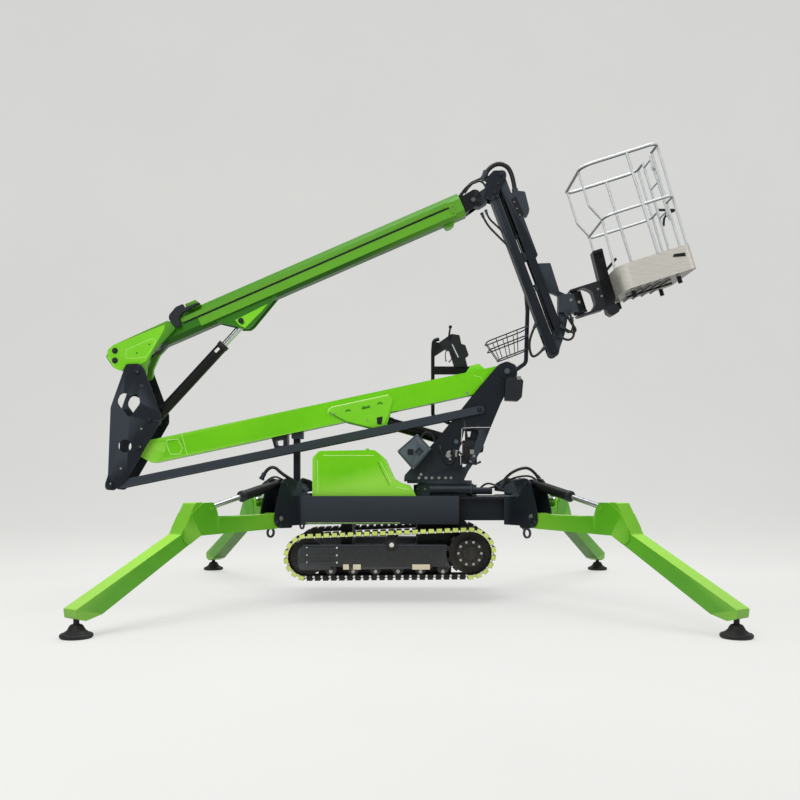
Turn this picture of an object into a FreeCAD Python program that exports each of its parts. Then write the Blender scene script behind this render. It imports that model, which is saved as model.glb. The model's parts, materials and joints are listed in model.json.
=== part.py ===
import math
import os

import FreeCAD
import Part

# Tracked spider boom lift, millimetres. X runs along the machine towards the basket, Z is up.
# The lines below count X from the middle of the chassis; SHIFT_X moves all to the overall middle.
SHIFT_X = 75.0

# Side view pins, as x and z
PIN_BOOM_FOOT = (950.0, 2075.0)
PIN_BOOM_TIP = (-2430.0, 1378.0)
LINK_OFFSET = (-255.0, -355.0)
PIN_LINK_FOOT = (PIN_BOOM_FOOT[0] + LINK_OFFSET[0], PIN_BOOM_FOOT[1] + LINK_OFFSET[1])
PIN_LINK_TIP = (PIN_BOOM_TIP[0] + LINK_OFFSET[0], PIN_BOOM_TIP[1] + LINK_OFFSET[1])
PIN_LIFT_FOOT = (482.0, 1425.0)
PIN_LIFT_ROD = (-225.0, 1627.0)
PIN_UPPER = (-2451.0, 2072.0)
PIN_LUFF_FOOT = (-2336.0, 1627.0)
PIN_LUFF_ROD = (-1500.0, 2535.0)
PIN_HEAD = (642.0, 3666.0)
PIN_JIB = (840.0, 3740.0)
PIN_JIB_END = (1396.0, 2268.0)
JIB_LINK_OFFSET = (55.0, 164.0)
PIN_JIB_LINK = (PIN_JIB[0] + JIB_LINK_OFFSET[0], PIN_JIB[1] + JIB_LINK_OFFSET[1])
PIN_JIB_LINK_END = (PIN_JIB_END[0] + JIB_LINK_OFFSET[0], PIN_JIB_END[1] + JIB_LINK_OFFSET[1])
PIN_JIB_CYL = (872.0, 3823.0)
PIN_JIB_ROD = (1126.0, 3153.0)
ROTATOR_CENTRE = (1622.0, 2724.0)
ROTATOR_R = 62.0
BASKET_CORNER = (1895.0, 2709.0)
BASKET_TILT_DEG = 17.5

# Running fits: between a pin and its bore, and between a rod and its gland
PIN_CLEARANCE = 0.3
GLAND_CLEARANCE = 0.1

# Slew ring
SLEW_X = 384.0
SLEW_R = 294.0
SLEW_Z = (933.0, 1044.0)

# Widths across the machine, counted from the centre plane
LOWER_BOOM_HALF = 90.0
TURRET_PLATE = (98.0, 113.0)
LINK_BAR = (119.0, 143.0)
RISER_PLATE = (150.0, 162.0)
UPPER_BOOM_HALF = 95.0
UPPER_CHEEK = (112.0, 134.0)
JIB_HALF = 60.0

# Upper boom: slope, and its section measured square to the slope from the line through its pivot
UPPER_SLOPE_DEG = 23.5
UPPER_FLOOR = 133.0
UPPER_HEIGHT = 218.0
UPPER_END = 3360.0

# Outriggers: plan position of the root reference and the pad, mirrored to four corners
LEG_CENTRE_X = 17.0
LEG_ROOT = (1090.0, 578.0)
LEG_PAD = (2270.0, 2250.0)
LEG_HALF = 70.0
LEG_PIVOT = (98.0, 740.0)
LEG_KNEE = (875.0, 850.0)
LEG_CYL = (30.0, 1043.0)
LEG_CORNERS = (
    ("left_near", -1, -1),
    ("right_near", 1, -1),
    ("left_far", -1, 1),
    ("right_far", 1, 1),
)

# Lashing eye under each outrigger bracket, in the outrigger frame
TIE_EYE = (40.0, -84.0, 618.0)
TIE_EYE_R = 30.0
TIE_EYE_THICK = 15.0

# Basket floor pan
PAN_FLOOR = 32.0
PAN_TOP = 258.0
BASKET_HALF = 405.0

# Hinge of the basket gate, in the basket frame
GATE_HINGE = (763.0, -112.0, 900.0)

# Crawler tracks
TRACK_Y = (370.0, 600.0)
SPROCKET = (574.0, 438.0, 226.0)
IDLER = (-843.0, 403.0, 204.0)
LUG_COUNT = 58
LUG_HEIGHT = 18.0
LUG_HALF = 23.0
BELT_THICK = 24.0


def vec(x, y, z):
    return FreeCAD.Vector(x, y, z)


def box(x0, x1, y0, y1, z0, z1):
    return Part.makeBox(x1 - x0, y1 - y0, z1 - z0, vec(x0, y0, z0))


def rounded_wire(points, to_point):
    """Closed wire through (a, b, radius) corners, mapped to space by to_point."""
    count = len(points)
    edges = []
    last = None
    first = None
    for i in range(count):
        here = points[i]
        before = points[i - 1]
        after = points[(i + 1) % count]
        radius = here[2] if len(here) > 2 else 0.0
        ax, az = before[0] - here[0], before[1] - here[1]
        bx, bz = after[0] - here[0], after[1] - here[1]
        la, lb = math.hypot(ax, az), math.hypot(bx, bz)
        ax, az, bx, bz = ax / la, az / la, bx / lb, bz / lb
        if radius > 0:
            angle = math.acos(max(-1.0, min(1.0, ax * bx + az * bz)))
            cut = radius / math.tan(angle / 2)
            start = (here[0] + ax * cut, here[1] + az * cut)
            end = (here[0] + bx * cut, here[1] + bz * cut)
            mx, mz = ax + bx, az + bz
            lm = math.hypot(mx, mz)
            reach = radius / math.sin(angle / 2) - radius
            mid = (here[0] + mx / lm * reach, here[1] + mz / lm * reach)
        else:
            start = end = (here[0], here[1])
            mid = None
        if last is not None:
            gap = math.hypot(start[0] - last[0], start[1] - last[1])
            if gap > 1e-4:
                edges.append(Part.makeLine(to_point(*last), to_point(*start)))
        else:
            first = start
        if mid is not None:
            edges.append(Part.Arc(to_point(*start), to_point(*mid), to_point(*end)).toShape())
        last = end
    if math.hypot(first[0] - last[0], first[1] - last[1]) > 1e-4:
        edges.append(Part.makeLine(to_point(*last), to_point(*first)))
    return Part.Wire(edges)


def plate(points, y0, y1):
    """Side-view outline with (x, z, corner radius) points, between two planes across the machine."""
    wire = rounded_wire(points, lambda x, z: vec(x, y0, z))
    return Part.Face(wire).extrude(vec(0, y1 - y0, 0))


def slab(points, z0, z1):
    """Plan-view outline with (x, y, corner radius) points, between two heights."""
    wire = rounded_wire(points, lambda x, y: vec(x, y, z0))
    return Part.Face(wire).extrude(vec(0, 0, z1 - z0))


def pair(points, low, high):
    """The same plate on both sides of the centre plane."""
    return [plate(points, -high, -low), plate(points, low, high)]


def pin(at, radius, half):
    """Round pin across the machine, at a side-view point."""
    return Part.makeCylinder(radius, 2 * half, vec(at[0], -half, at[1]), vec(0, 1, 0))


def disc(at, radius, y0, y1):
    return Part.makeCylinder(radius, y1 - y0, vec(at[0], y0, at[1]), vec(0, 1, 0))


def rod(start, end, radius):
    """Round bar between two points in space."""
    a, b = vec(*start), vec(*end)
    return Part.makeCylinder(radius, (b - a).Length, a, b - a)


def along(start, end, radius, from_mm, to_mm, y=0.0):
    """Round bar on the line between two side-view pins, from one distance to another."""
    length = math.hypot(end[0] - start[0], end[1] - start[1])
    dx, dz = (end[0] - start[0]) / length, (end[1] - start[1]) / length
    p = vec(start[0] + dx * from_mm, y, start[1] + dz * from_mm)
    return Part.makeCylinder(radius, to_mm - from_mm, p, vec(dx, 0, dz))


def tube(points, radius, bend=60.0):
    """Round tube through points, with its corners rounded."""
    pts = [vec(*p) for p in points]
    edges = []
    last = pts[0]
    for i in range(1, len(pts) - 1):
        a = (pts[i - 1] - pts[i]).normalize()
        b = (pts[i + 1] - pts[i]).normalize()
        angle = a.getAngle(b)
        if angle > math.pi - 1e-3:
            continue
        cut = bend / math.tan(angle / 2)
        start, end = pts[i] + a * cut, pts[i] + b * cut
        middle = (a + b).normalize()
        mid = pts[i] + middle * (bend / math.sin(angle / 2) - bend)
        if (start - last).Length > 1e-4:
            edges.append(Part.makeLine(last, start))
        edges.append(Part.Arc(start, mid, end).toShape())
        last = end
    if (pts[-1] - last).Length > 1e-4:
        edges.append(Part.makeLine(last, pts[-1]))
    wire = Part.Wire(edges)
    circle = Part.Wire(Part.makeCircle(radius, pts[0], pts[1] - pts[0]))
    return wire.makePipeShell([circle], True, True)


def join(shapes):
    result = shapes[0]
    for shape in shapes[1:]:
        result = result.fuse(shape)
    return result.removeSplitter()


def cut(shape, tools):
    for tool in tools:
        shape = shape.cut(tool)
    return shape


def group(shapes):
    """Separate solids that share one node."""
    return Part.makeCompound(shapes)


def sheared(points, start, end):
    """Points given as (along, off) from the line start-end, with off square to its left."""
    length = math.hypot(end[0] - start[0], end[1] - start[1])
    dx, dz = (end[0] - start[0]) / length, (end[1] - start[1]) / length
    out = []
    for p in points:
        x = start[0] + dx * p[0] - dz * p[1]
        z = start[1] + dz * p[0] + dx * p[1]
        out.append((x, z) + tuple(p[2:]))
    return out


# Upper boom frame: t along the boom, n square to it

UPPER_DIR = (math.cos(math.radians(UPPER_SLOPE_DEG)), math.sin(math.radians(UPPER_SLOPE_DEG)))


def upper(t, n):
    return (
        PIN_UPPER[0] + UPPER_DIR[0] * t - UPPER_DIR[1] * n,
        PIN_UPPER[1] + UPPER_DIR[1] * t + UPPER_DIR[0] * n,
    )


def upper_bar(outline, t0, t1):
    """Bar with a cross-section outline of (y, n, radius) points, from t0 to t1 along the upper boom."""

    def to_point(y, n):
        x, z = upper(t0, n)
        return vec(x, y, z)

    wire = rounded_wire(outline, to_point)
    run = vec(UPPER_DIR[0] * (t1 - t0), 0, UPPER_DIR[1] * (t1 - t0))
    return Part.Face(wire).extrude(run)


def upper_plate(points, y0, y1):
    return plate([upper(p[0], p[1]) + tuple(p[2:]) for p in points], y0, y1)


# Basket frame: a away from the jib, h up the posts

BASKET_TILT = math.radians(BASKET_TILT_DEG)


def basket(a, y, h):
    return (
        BASKET_CORNER[0] + math.cos(BASKET_TILT) * a - math.sin(BASKET_TILT) * h,
        y,
        BASKET_CORNER[1] + math.sin(BASKET_TILT) * a + math.cos(BASKET_TILT) * h,
    )


def in_basket(shape):
    """Moves a shape modelled with x = a, y, z = h into the tilted basket frame."""
    shape = shape.copy()
    shape.rotate(vec(0, 0, 0), vec(0, 1, 0), -BASKET_TILT_DEG)
    shape.translate(vec(BASKET_CORNER[0], 0, BASKET_CORNER[1]))
    return shape


# Outrigger frame: s outwards from the root reference, w across the leg, z up

LEG_RUN = (LEG_PAD[0] - LEG_ROOT[0], LEG_PAD[1] - LEG_ROOT[1])
LEG_LENGTH = math.hypot(*LEG_RUN)
LEG_ANGLE_DEG = math.degrees(math.atan2(LEG_RUN[1], LEG_RUN[0]))


def in_leg(shape, side_x, side_y):
    """Moves a shape modelled with x = s, y = w, z up to one corner of the machine."""
    shape = shape.copy()
    turn = math.degrees(math.atan2(side_y * LEG_RUN[1], side_x * LEG_RUN[0]))
    shape.rotate(vec(0, 0, 0), vec(0, 0, 1), turn)
    shape.translate(vec(LEG_CENTRE_X + side_x * LEG_ROOT[0], side_y * LEG_ROOT[1], 0))
    return shape


def leg_point(s, w, z, side_x, side_y):
    turn = math.atan2(side_y * LEG_RUN[1], side_x * LEG_RUN[0])
    return (
        LEG_CENTRE_X + side_x * LEG_ROOT[0] + math.cos(turn) * s - math.sin(turn) * w,
        side_y * LEG_ROOT[1] + math.sin(turn) * s + math.cos(turn) * w,
        z,
    )


def make_leg():
    outline = [
        (52, 672, 45), (52, 800, 45), (165, 785, 20), (795, 785, 6), (815, 850, 20), (857, 903, 12),
        (1035, 903, 14), (1180, 665, 30), (LEG_LENGTH + 54, 202, 12), (LEG_LENGTH + 46, 140, 12),
        (LEG_LENGTH - 28, 118, 10), (LEG_LENGTH - 161, 150, 30), (985, 648, 30), (150, 660, 30),
    ]
    body = plate(outline, -LEG_HALF, LEG_HALF)
    pocket = box(620, 935, -50, 50, 756, 960)
    rib = plate([(800, 640, 10), (905, 640, 60), (1190, 560, 60), (1130, 790, 60), (960, 905, 20), (850, 905, 20)],
                -LEG_HALF - 6, LEG_HALF + 6)
    rib = rib.common(plate(outline, -LEG_HALF - 6, LEG_HALF + 6))
    body = join([body, rib])
    bores = [
        disc(LEG_PIVOT, 20.3, -90, 90),
        Part.makeCylinder(20.3, 120, vec(LEG_LENGTH, 0, 40), vec(0, 0, 1)),
    ]
    body = cut(body, [pocket] + bores)
    knee_pin = disc(LEG_KNEE, 18, -LEG_HALF - 10, -50)
    knee_pin_far = disc(LEG_KNEE, 18, 50, LEG_HALF + 10)
    body = join([body, knee_pin, knee_pin_far])
    return body


def make_pad():
    points = [
        (0, 0), (104, 0), (112.5, 10), (112.5, 24), (104, 32), (88, 36), (62, 56), (46, 84), (38, 92), (22, 96),
        (20, 104), (20, 159.7), (0, 159.7),
    ]
    wire = Part.makePolygon([vec(r, 0, z) for r, z in points] + [vec(0, 0, 0)])
    pad = Part.Face(wire).revolve(vec(0, 0, 0), vec(0, 0, 1), 360)
    pad.translate(vec(LEG_LENGTH, 0, 0))
    return pad


def make_leg_barrel():
    reach = math.hypot(LEG_KNEE[0] - LEG_CYL[0], LEG_KNEE[1] - LEG_CYL[1])
    eye = disc(LEG_CYL, 40, -34, 34)
    body = along(LEG_CYL, LEG_KNEE, 43, 32, 430)
    collar = along(LEG_CYL, LEG_KNEE, 47, 430, 462)
    shell = join([eye, body, collar])
    shell = cut(shell, [disc(LEG_CYL, 18 + PIN_CLEARANCE, -60, 60), along(LEG_CYL, LEG_KNEE, 25.0, 60, 430),
                        along(LEG_CYL, LEG_KNEE, 22 + GLAND_CLEARANCE, 420, reach)])
    port = plate(sheared([(60, 40), (60, 62), (100, 62), (100, 40)], LEG_CYL, LEG_KNEE), -16, 16)
    return join([shell, port])


def make_leg_rod():
    reach = math.hypot(LEG_KNEE[0] - LEG_CYL[0], LEG_KNEE[1] - LEG_CYL[1])
    body = along(LEG_CYL, LEG_KNEE, 22, 420, reach - 25)
    eye = disc(LEG_KNEE, 35, -32, 32).cut(disc(LEG_KNEE, 19, -40, 40))
    body = body.cut(disc(LEG_KNEE, 19, -40, 40))
    return join([body, eye])


def leg_ears():
    """Ears of one corner, between which the leg and its cylinder are pinned."""
    outline = [
        (-250, 965), (-250, 1030, 20), (-120, 1070, 30), (30, 1092, 40), (82, 1062, 30), (158, 820, 30),
        (166, 712, 40), (112, 664, 30), (-45, 660, 20), (-50, 950, 20),
    ]
    ears = [plate(outline, -92, -77), plate(outline, 77, 92)]
    heel = box(-250, 0, -92, 92, 680, 930)
    heel = heel.cut(disc(LEG_PIVOT, 110, -77, 77))
    top = box(-250, -60, -92, 92, 965, 985)
    pins = [disc(LEG_PIVOT, 20, -100, 100), disc(LEG_CYL, 18, -100, 100)]
    eye = disc((TIE_EYE[0], TIE_EYE[2]), TIE_EYE_R + 16, TIE_EYE[1] - TIE_EYE_THICK / 2, TIE_EYE[1] + TIE_EYE_THICK / 2)
    eye = eye.cut(disc((TIE_EYE[0], TIE_EYE[2]), TIE_EYE_R, -200, 200))
    return ears + [heel, top] + pins + [eye]


def make_chassis():
    parts = [
        box(-970, 484, -500, -400, 686, 934),
        box(-970, 484, 400, 500, 686, 934),
        box(470, 997, -350, -250, 713, 927),
        box(470, 997, 250, 350, 713, 927),
        box(384, 484, -500, 500, 700, 927),
        box(-970, -870, -500, 500, 690, 930),
        box(900, 997, -440, 440, 713, 927),
        box(-870, 900, -410, 410, 905, 925),
        box(-564, -466, -340, 340, 470, 925),
        box(116, 546, -340, 340, 470, 925),
        box(-564, -466, -399.8, 399.8, 340, 480),
        box(116, 546, -399.8, 399.8, 340, 480),
    ]
    for _, side_x, side_y in LEG_CORNERS:
        parts += [in_leg(s, side_x, side_y) for s in leg_ears()]
    return join(parts)


def tangent_hull(first, second, shrink, y0, y1):
    """Band outline round two wheels given as (x, z, radius), drawn in by shrink."""
    x0, z0, r0 = second[0], second[1], second[2] - shrink
    x1, z1, r1 = first[0], first[1], first[2] - shrink
    span = math.hypot(x1 - x0, z1 - z0)
    base = math.atan2(z1 - z0, x1 - x0)
    spread = math.acos((r0 - r1) / span)
    up, down = base + spread, base - spread
    p = lambda x, z, r, a: vec(x + r * math.cos(a), y0, z + r * math.sin(a))
    edges = [
        Part.makeLine(p(x0, z0, r0, up), p(x1, z1, r1, up)),
        Part.Arc(p(x1, z1, r1, up), p(x1, z1, r1, base), p(x1, z1, r1, down)).toShape(),
        Part.makeLine(p(x1, z1, r1, down), p(x0, z0, r0, down)),
        Part.Arc(p(x0, z0, r0, down), p(x0, z0, r0, base + math.pi), p(x0, z0, r0, up)).toShape(),
    ]
    return Part.Face(Part.Wire(edges)).extrude(vec(0, y1 - y0, 0))


def belt_stations():
    """Centre, direction and outward normal of each lug round the belt."""
    x0, z0, r0 = IDLER[0], IDLER[1], IDLER[2] - LUG_HEIGHT
    x1, z1, r1 = SPROCKET[0], SPROCKET[1], SPROCKET[2] - LUG_HEIGHT
    span = math.hypot(x1 - x0, z1 - z0)
    base = math.atan2(z1 - z0, x1 - x0)
    spread = math.acos((r0 - r1) / span)
    straight = math.sqrt(span ** 2 - (r1 - r0) ** 2)
    arc1, arc0 = 2 * spread * r1, (2 * math.pi - 2 * spread) * r0
    total = 2 * straight + arc1 + arc0
    stations = []
    for i in range(LUG_COUNT):
        d = (i + 0.5) * total / LUG_COUNT
        if d < straight:
            a = base + spread
            start = (x0 + r0 * math.cos(a), z0 + r0 * math.sin(a))
            run = (math.sin(a), -math.cos(a))
            at = (start[0] + run[0] * d, start[1] + run[1] * d)
        elif d < straight + arc1:
            a = base + spread - (d - straight) / r1
            at = (x1 + r1 * math.cos(a), z1 + r1 * math.sin(a))
        elif d < 2 * straight + arc1:
            a = base - spread
            start = (x1 + r1 * math.cos(a), z1 + r1 * math.sin(a))
            run = (math.sin(a), -math.cos(a))
            e = d - straight - arc1
            at = (start[0] + run[0] * e, start[1] + run[1] * e)
        else:
            a = base - spread - (d - 2 * straight - arc1) / r0
            at = (x0 + r0 * math.cos(a), z0 + r0 * math.sin(a))
        stations.append((at, a))
    return stations


def make_track(side):
    y0, y1 = (-TRACK_Y[1], -TRACK_Y[0]) if side < 0 else TRACK_Y
    outer = tangent_hull(SPROCKET, IDLER, LUG_HEIGHT, y0 + 12, y1 - 12)
    inner = tangent_hull(SPROCKET, IDLER, LUG_HEIGHT + BELT_THICK, y0 - 10, y1 + 10)
    belt = outer.cut(inner)
    lugs = []
    for at, a in belt_stations():
        lug = box(-LUG_HALF, LUG_HALF, y0, y1, -8, LUG_HEIGHT)
        lug.rotate(vec(0, 0, 0), vec(0, 1, 0), 90 - math.degrees(a))
        lug.translate(vec(at[0], 0, at[1]))
        lugs.append(lug)
    return belt.multiFuse(lugs)


def make_track_wheels(side):
    inner_r = SPROCKET[2] - LUG_HEIGHT - BELT_THICK
    idler_r = IDLER[2] - LUG_HEIGHT - BELT_THICK
    y0, y1 = (-560, -410) if side < 0 else (410, 560)
    face = -1 if side < 0 else 1
    at = lambda x, z, r, a, b: Part.makeCylinder(r, b - a, vec(x, a, z), vec(0, 1, 0))
    sprocket = at(SPROCKET[0], SPROCKET[1], inner_r - 4, y0 + 40, y1 - 40)
    teeth = []
    for i in range(12):
        tooth = box(-22, 22, y0 + 40, y1 - 40, inner_r - 14, inner_r + 14)
        tooth.rotate(vec(0, 0, 0), vec(0, 1, 0), 30 * i + 11)
        tooth.translate(vec(SPROCKET[0], 0, SPROCKET[1]))
        teeth.append(tooth)
    hub = at(SPROCKET[0], SPROCKET[1], 118, min(face * 585, face * 470), max(face * 585, face * 470))
    cap = at(SPROCKET[0], SPROCKET[1], 60, min(face * 597, face * 500), max(face * 597, face * 500))
    idler = at(IDLER[0], IDLER[1], idler_r - 4, y0 + 30, y1 - 30)
    idler_hub = at(IDLER[0], IDLER[1], 70, y0 - 15, y1 + 15)
    rollers = []
    for i in range(6):
        x = -640 + i * 196
        z = IDLER[1] - idler_r + (x - IDLER[0]) * 0.0088 + 52
        rollers.append(at(x, z, 50, y0, y1))
    rollers.append(at(-116, 534, 50, y0 + 10, y1 - 10))
    disc_solid = join([sprocket] + teeth + [hub, cap])
    idler_solid = join([idler, idler_hub])
    return group([disc_solid, idler_solid] + rollers)


def make_track_frame(side):
    y0, y1 = (-590, -400) if side < 0 else (400, 590)
    face = -1 if side < 0 else 1
    outline = [(-925, 330, 60), (-925, 480, 70), (-860, 512, 40), (370, 512, 30), (410, 470, 30), (410, 310, 20),
               (-900, 290, 20)]
    body = plate(outline, y0, y1)
    cutters = [
        Part.makeCylinder(IDLER[2] - 30, 130, vec(IDLER[0] - 30, min(face * 566, face * 430), IDLER[1]), vec(0, 1, 0)),
        Part.makeCylinder(SPROCKET[2] - 20, 400, vec(SPROCKET[0], min(face * 400, face * 800), SPROCKET[1]),
                          vec(0, 1, 0)),
        box(-700, 400, min(face * 566, face * 404), max(face * 566, face * 404), 250, 352),
    ]
    for x in (-560, 313):
        cutters.append(box(x - 75, x + 75, min(face * 560, face * 620), max(face * 560, face * 620), 250, 322))
    body = cut(body, cutters)
    ribs = []
    for x0, x1, z in ((-880, -590, 478), (-880, -590, 412), (-860, -590, 352), (-880, 360, 505)):
        ribs.append(box(x0, x1, min(face * 588, face * 596), max(face * 588, face * 596), z, z + 8))
    ribs.append(box(366, 376, min(face * 588, face * 596), max(face * 588, face * 596), 320, 500))
    return join([body] + [r.cut(cutters[0]).cut(cutters[1]) for r in ribs])


def make_engine_cover():
    outline = [
        (-812, 934.3), (-812, 1274, 60), (-752, 1334, 50), (-258, 1342, 50), (-172, 1272, 60), (-88, 1086, 50),
        (-20, 1043, 40), (64, 1018, 40),
        (SLEW_X - SLEW_R + 18, 934.3),
    ]
    body = plate(outline, -450, 450)
    inner = [
        (-800, 920), (-800, 1268, 50), (-746, 1320, 40), (-264, 1328, 40), (-182, 1266, 50), (-98, 1078, 40),
        (-26, 1031, 30), (58, 1005, 30), (90, 920),
    ]
    body = body.cut(plate(inner, -438, 438))
    knob = Part.makeCylinder(16, 22, vec(-330, -300, 1336), vec(0, 0, 1))
    round_ring = Part.makeCylinder(SLEW_R + 6, 200, vec(SLEW_X, 0, 900), vec(0, 0, 1))
    return join([body, knob]).cut(round_ring)


def make_engine():
    block = box(-740, -330, -230, 230, 960, 1180)
    sump = box(-690, -380, -150, 150, 925.2, 960)
    head = box(-700, -370, -110, 110, 1180, 1250)
    fan = Part.makeCylinder(110, 30, vec(-330, 0, 1070), vec(1, 0, 0))
    pulley = Part.makeCylinder(45, 24, vec(-300, 0, 1000), vec(1, 0, 0))
    return join([block, sump, head, fan, pulley])


def make_boom_rest():
    post = box(-1030, -970, -30, 30, 930, 1458)
    foot = box(-1060, -860, -90, 90, 930, 950)
    cap_points = [(-1046, 1456, 10), (-1046, 1503.8, 2), (-940, 1526.4, 2), (-940, 1456, 10)]
    cap = plate(cap_points, -55, 55)
    return join([post, foot, cap])


def make_slew_ring():
    ring = Part.makeCylinder(SLEW_R, SLEW_Z[1] - SLEW_Z[0] - 8, vec(SLEW_X, 0, 927.2), vec(0, 0, 1))
    top = Part.makeCylinder(SLEW_R - 30, 40, vec(SLEW_X, 0, 1000), vec(0, 0, 1))
    return join([ring, top])


TURRET_OUTLINE = [
    (0, 1060), (4, 1116, 30), (314, 1464, 60), (535, 1734), (641, 1868), (872, 2140, 60), (950, 2172, 60),
    (1046, 2130, 60), (1044, 2030, 40), (1000, 1985, 20), (895, 1785), (800, 1559), (725, 1369, 60),
    (640, 1225, 60), (590, 1150, 40), (548, 1060),
]


def make_turret():
    plates = pair(TURRET_OUTLINE, *TURRET_PLATE)
    window = [(508, 1190, 20), (508, 1340, 20), (560, 1540, 30), (700, 1540, 30), (655, 1400, 60), (585, 1200, 30)]
    plates = [p.cut(plate(window, -200, 200)) for p in plates]
    base = Part.makeCylinder(250, 30, vec(SLEW_X, 0, SLEW_Z[1] - 4), vec(0, 0, 1))
    deck = box(30, 560, -160, 160, SLEW_Z[1], SLEW_Z[1] + 30)
    back = plate([(20, 1060), (60, 1150), (262, 1385), (252, 1395), (45, 1160), (5, 1060)], -100, 100)
    web = box(300, 540, -100, 100, 1072, 1300)
    boss_foot = [disc(PIN_BOOM_FOOT, 72, -TURRET_PLATE[1] - 8, -TURRET_PLATE[0]),
                 disc(PIN_BOOM_FOOT, 72, TURRET_PLATE[0], TURRET_PLATE[1] + 8)]
    pins = [pin(PIN_BOOM_FOOT, 30, TURRET_PLATE[1] + 20), pin(PIN_LINK_FOOT, 22, LINK_BAR[1] + 10),
            pin(PIN_LIFT_FOOT, 25, TURRET_PLATE[1] + 12)]
    return join(plates + [base, deck, back, web] + boss_foot + pins)


def make_control_box():
    outline = [(-65, 1336, 14), (120, 1499, 14), (250, 1360, 14), (83, 1166, 14)]
    body = plate(outline, -212, -TURRET_PLATE[1] - 0.2)
    socket = plate(sheared([(-30, -30, 8), (-30, 30, 8), (30, 30, 8), (30, -30, 8)], (139, 1333), (269, 1452)),
                   -220, -192)
    lid = plate([(-40, 1334, 12), (118, 1474, 12), (226, 1360, 12), (84, 1194, 12)], -218, -212)
    return join([body, lid]).cut(socket)


def make_hose_box():
    outline = [(923, 1800, 12), (928, 1990, 20), (960, 2015, 20), (1060, 2012, 20), (1089, 1980, 20),
               (1075, 1830, 20), (1040, 1794, 12)]
    body = plate(outline, -212, -TURRET_PLATE[1] - 8.3)
    spacer = box(928, 948, -TURRET_PLATE[1] - 9, -TURRET_PLATE[1] - 0.2, 1830, 1950)
    return join([body, spacer])


def make_slew_drive():
    worm = Part.makeCylinder(42, 370, vec(230, -SLEW_R - 43, 978), vec(1, 0, 0))
    motor = Part.makeCylinder(31, 190, vec(600, -SLEW_R - 43, 978), vec(1, 0, 0))
    flange = Part.makeCylinder(48, 16, vec(592, -SLEW_R - 43, 978), vec(1, 0, 0))
    foot = box(260, 560, -SLEW_R - 73, -SLEW_R - 13, 927.2, 960)
    return join([worm, motor, flange.common(box(500, 700, -500, 0, 928, 1100)), foot])


def make_valve_block():
    return plate([(548, 1236), (548, 1440), (704, 1440), (652, 1236)], -TURRET_PLATE[0] + 0.3, TURRET_PLATE[0] - 0.3)


def make_lower_boom():
    outline = [
        (-2492, 1320, 20), (-2500, 1412, 20), (870, 2131, 40), (1010, 2150, 50), (1036, 2040, 50), (960, 1980, 40),
        (840, 1908, 60), (-2330, 1230, 40),
    ]
    body = plate(outline, -LOWER_BOOM_HALF, LOWER_BOOM_HALF)
    void = [(-2280, 1260), (-2290, 1430), (640, 2058), (640, 1882)]
    body = body.cut(plate(void, -LOWER_BOOM_HALF + 10, LOWER_BOOM_HALF - 10))
    doubler = [(-720, 1690, 18), (-700, 1744, 50), (-140, 1862, 40), (-92, 1826, 40), (-160, 1570, 30),
               (-290, 1545, 40), (-536, 1612)]
    plates = pair(doubler, LOWER_BOOM_HALF - 16, LOWER_BOOM_HALF + 6)
    rod_pin = [disc(PIN_LIFT_ROD, 22, -LOWER_BOOM_HALF - 10, -LOWER_BOOM_HALF + 20),
               disc(PIN_LIFT_ROD, 22, LOWER_BOOM_HALF - 20, LOWER_BOOM_HALF + 10)]
    bores = [pin(PIN_BOOM_FOOT, 30.3, 200), pin(PIN_BOOM_TIP, 28.3, 200)]
    hump = plate([(560, 2050), (620, 2140, 20), (700, 2160, 20), (760, 2100)], -30, 30)
    panel = [(-2211, 1305, 20), (-2196, 1425, 20), (-2080, 1455, 50), (-2026, 1410, 40), (-2050, 1335, 40)]
    recesses = [plate(panel, -LOWER_BOOM_HALF - 2, -LOWER_BOOM_HALF + 5),
                plate(panel, LOWER_BOOM_HALF - 5, LOWER_BOOM_HALF + 2)]
    pocket = box(PIN_LIFT_ROD[0] - 105, PIN_LIFT_ROD[0] + 165, -72, 72, 1600, 1750)
    return cut(join([body] + plates + rod_pin + [hump]), bores + recesses + [pocket])


def make_hose_bracket():
    outer = [(-1229, 1465.2), (-1080, 1497.1), (-1080, 1380, 15), (-1100, 1362, 10), (-1200, 1362, 20)]
    window = [(-1190, 1440, 10), (-1120, 1450, 10), (-1120, 1392, 10), (-1180, 1392, 10)]
    return plate(outer, -70, 70).cut(plate(window, -80, 80))


def make_link_bars():
    length = math.hypot(PIN_LINK_FOOT[0] - PIN_LINK_TIP[0], PIN_LINK_FOOT[1] - PIN_LINK_TIP[1])
    outline = sheared([(-42, -36, 34), (-42, 36, 34), (length + 42, 36, 34), (length + 42, -36, 34)],
                      PIN_LINK_TIP, PIN_LINK_FOOT)
    bars = pair(outline, *LINK_BAR)
    bores = [pin(PIN_LINK_FOOT, 22.3, 300), pin(PIN_LINK_TIP, 22.3, 300)]
    return group([cut(b, bores) for b in bars])


RISER_OUTLINE = [
    (-2552, 2138, 30), (-2428, 2142, 40), (-2384, 2092, 30), (-2236, 1688, 30), (-2236, 1612, 40), (-2543, 1078, 40),
    (-2660, 978, 30), (-2742, 985, 30), (-2742, 1040, 30), (-2716, 1120, 60), (-2692, 1741, 60),
]


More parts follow.
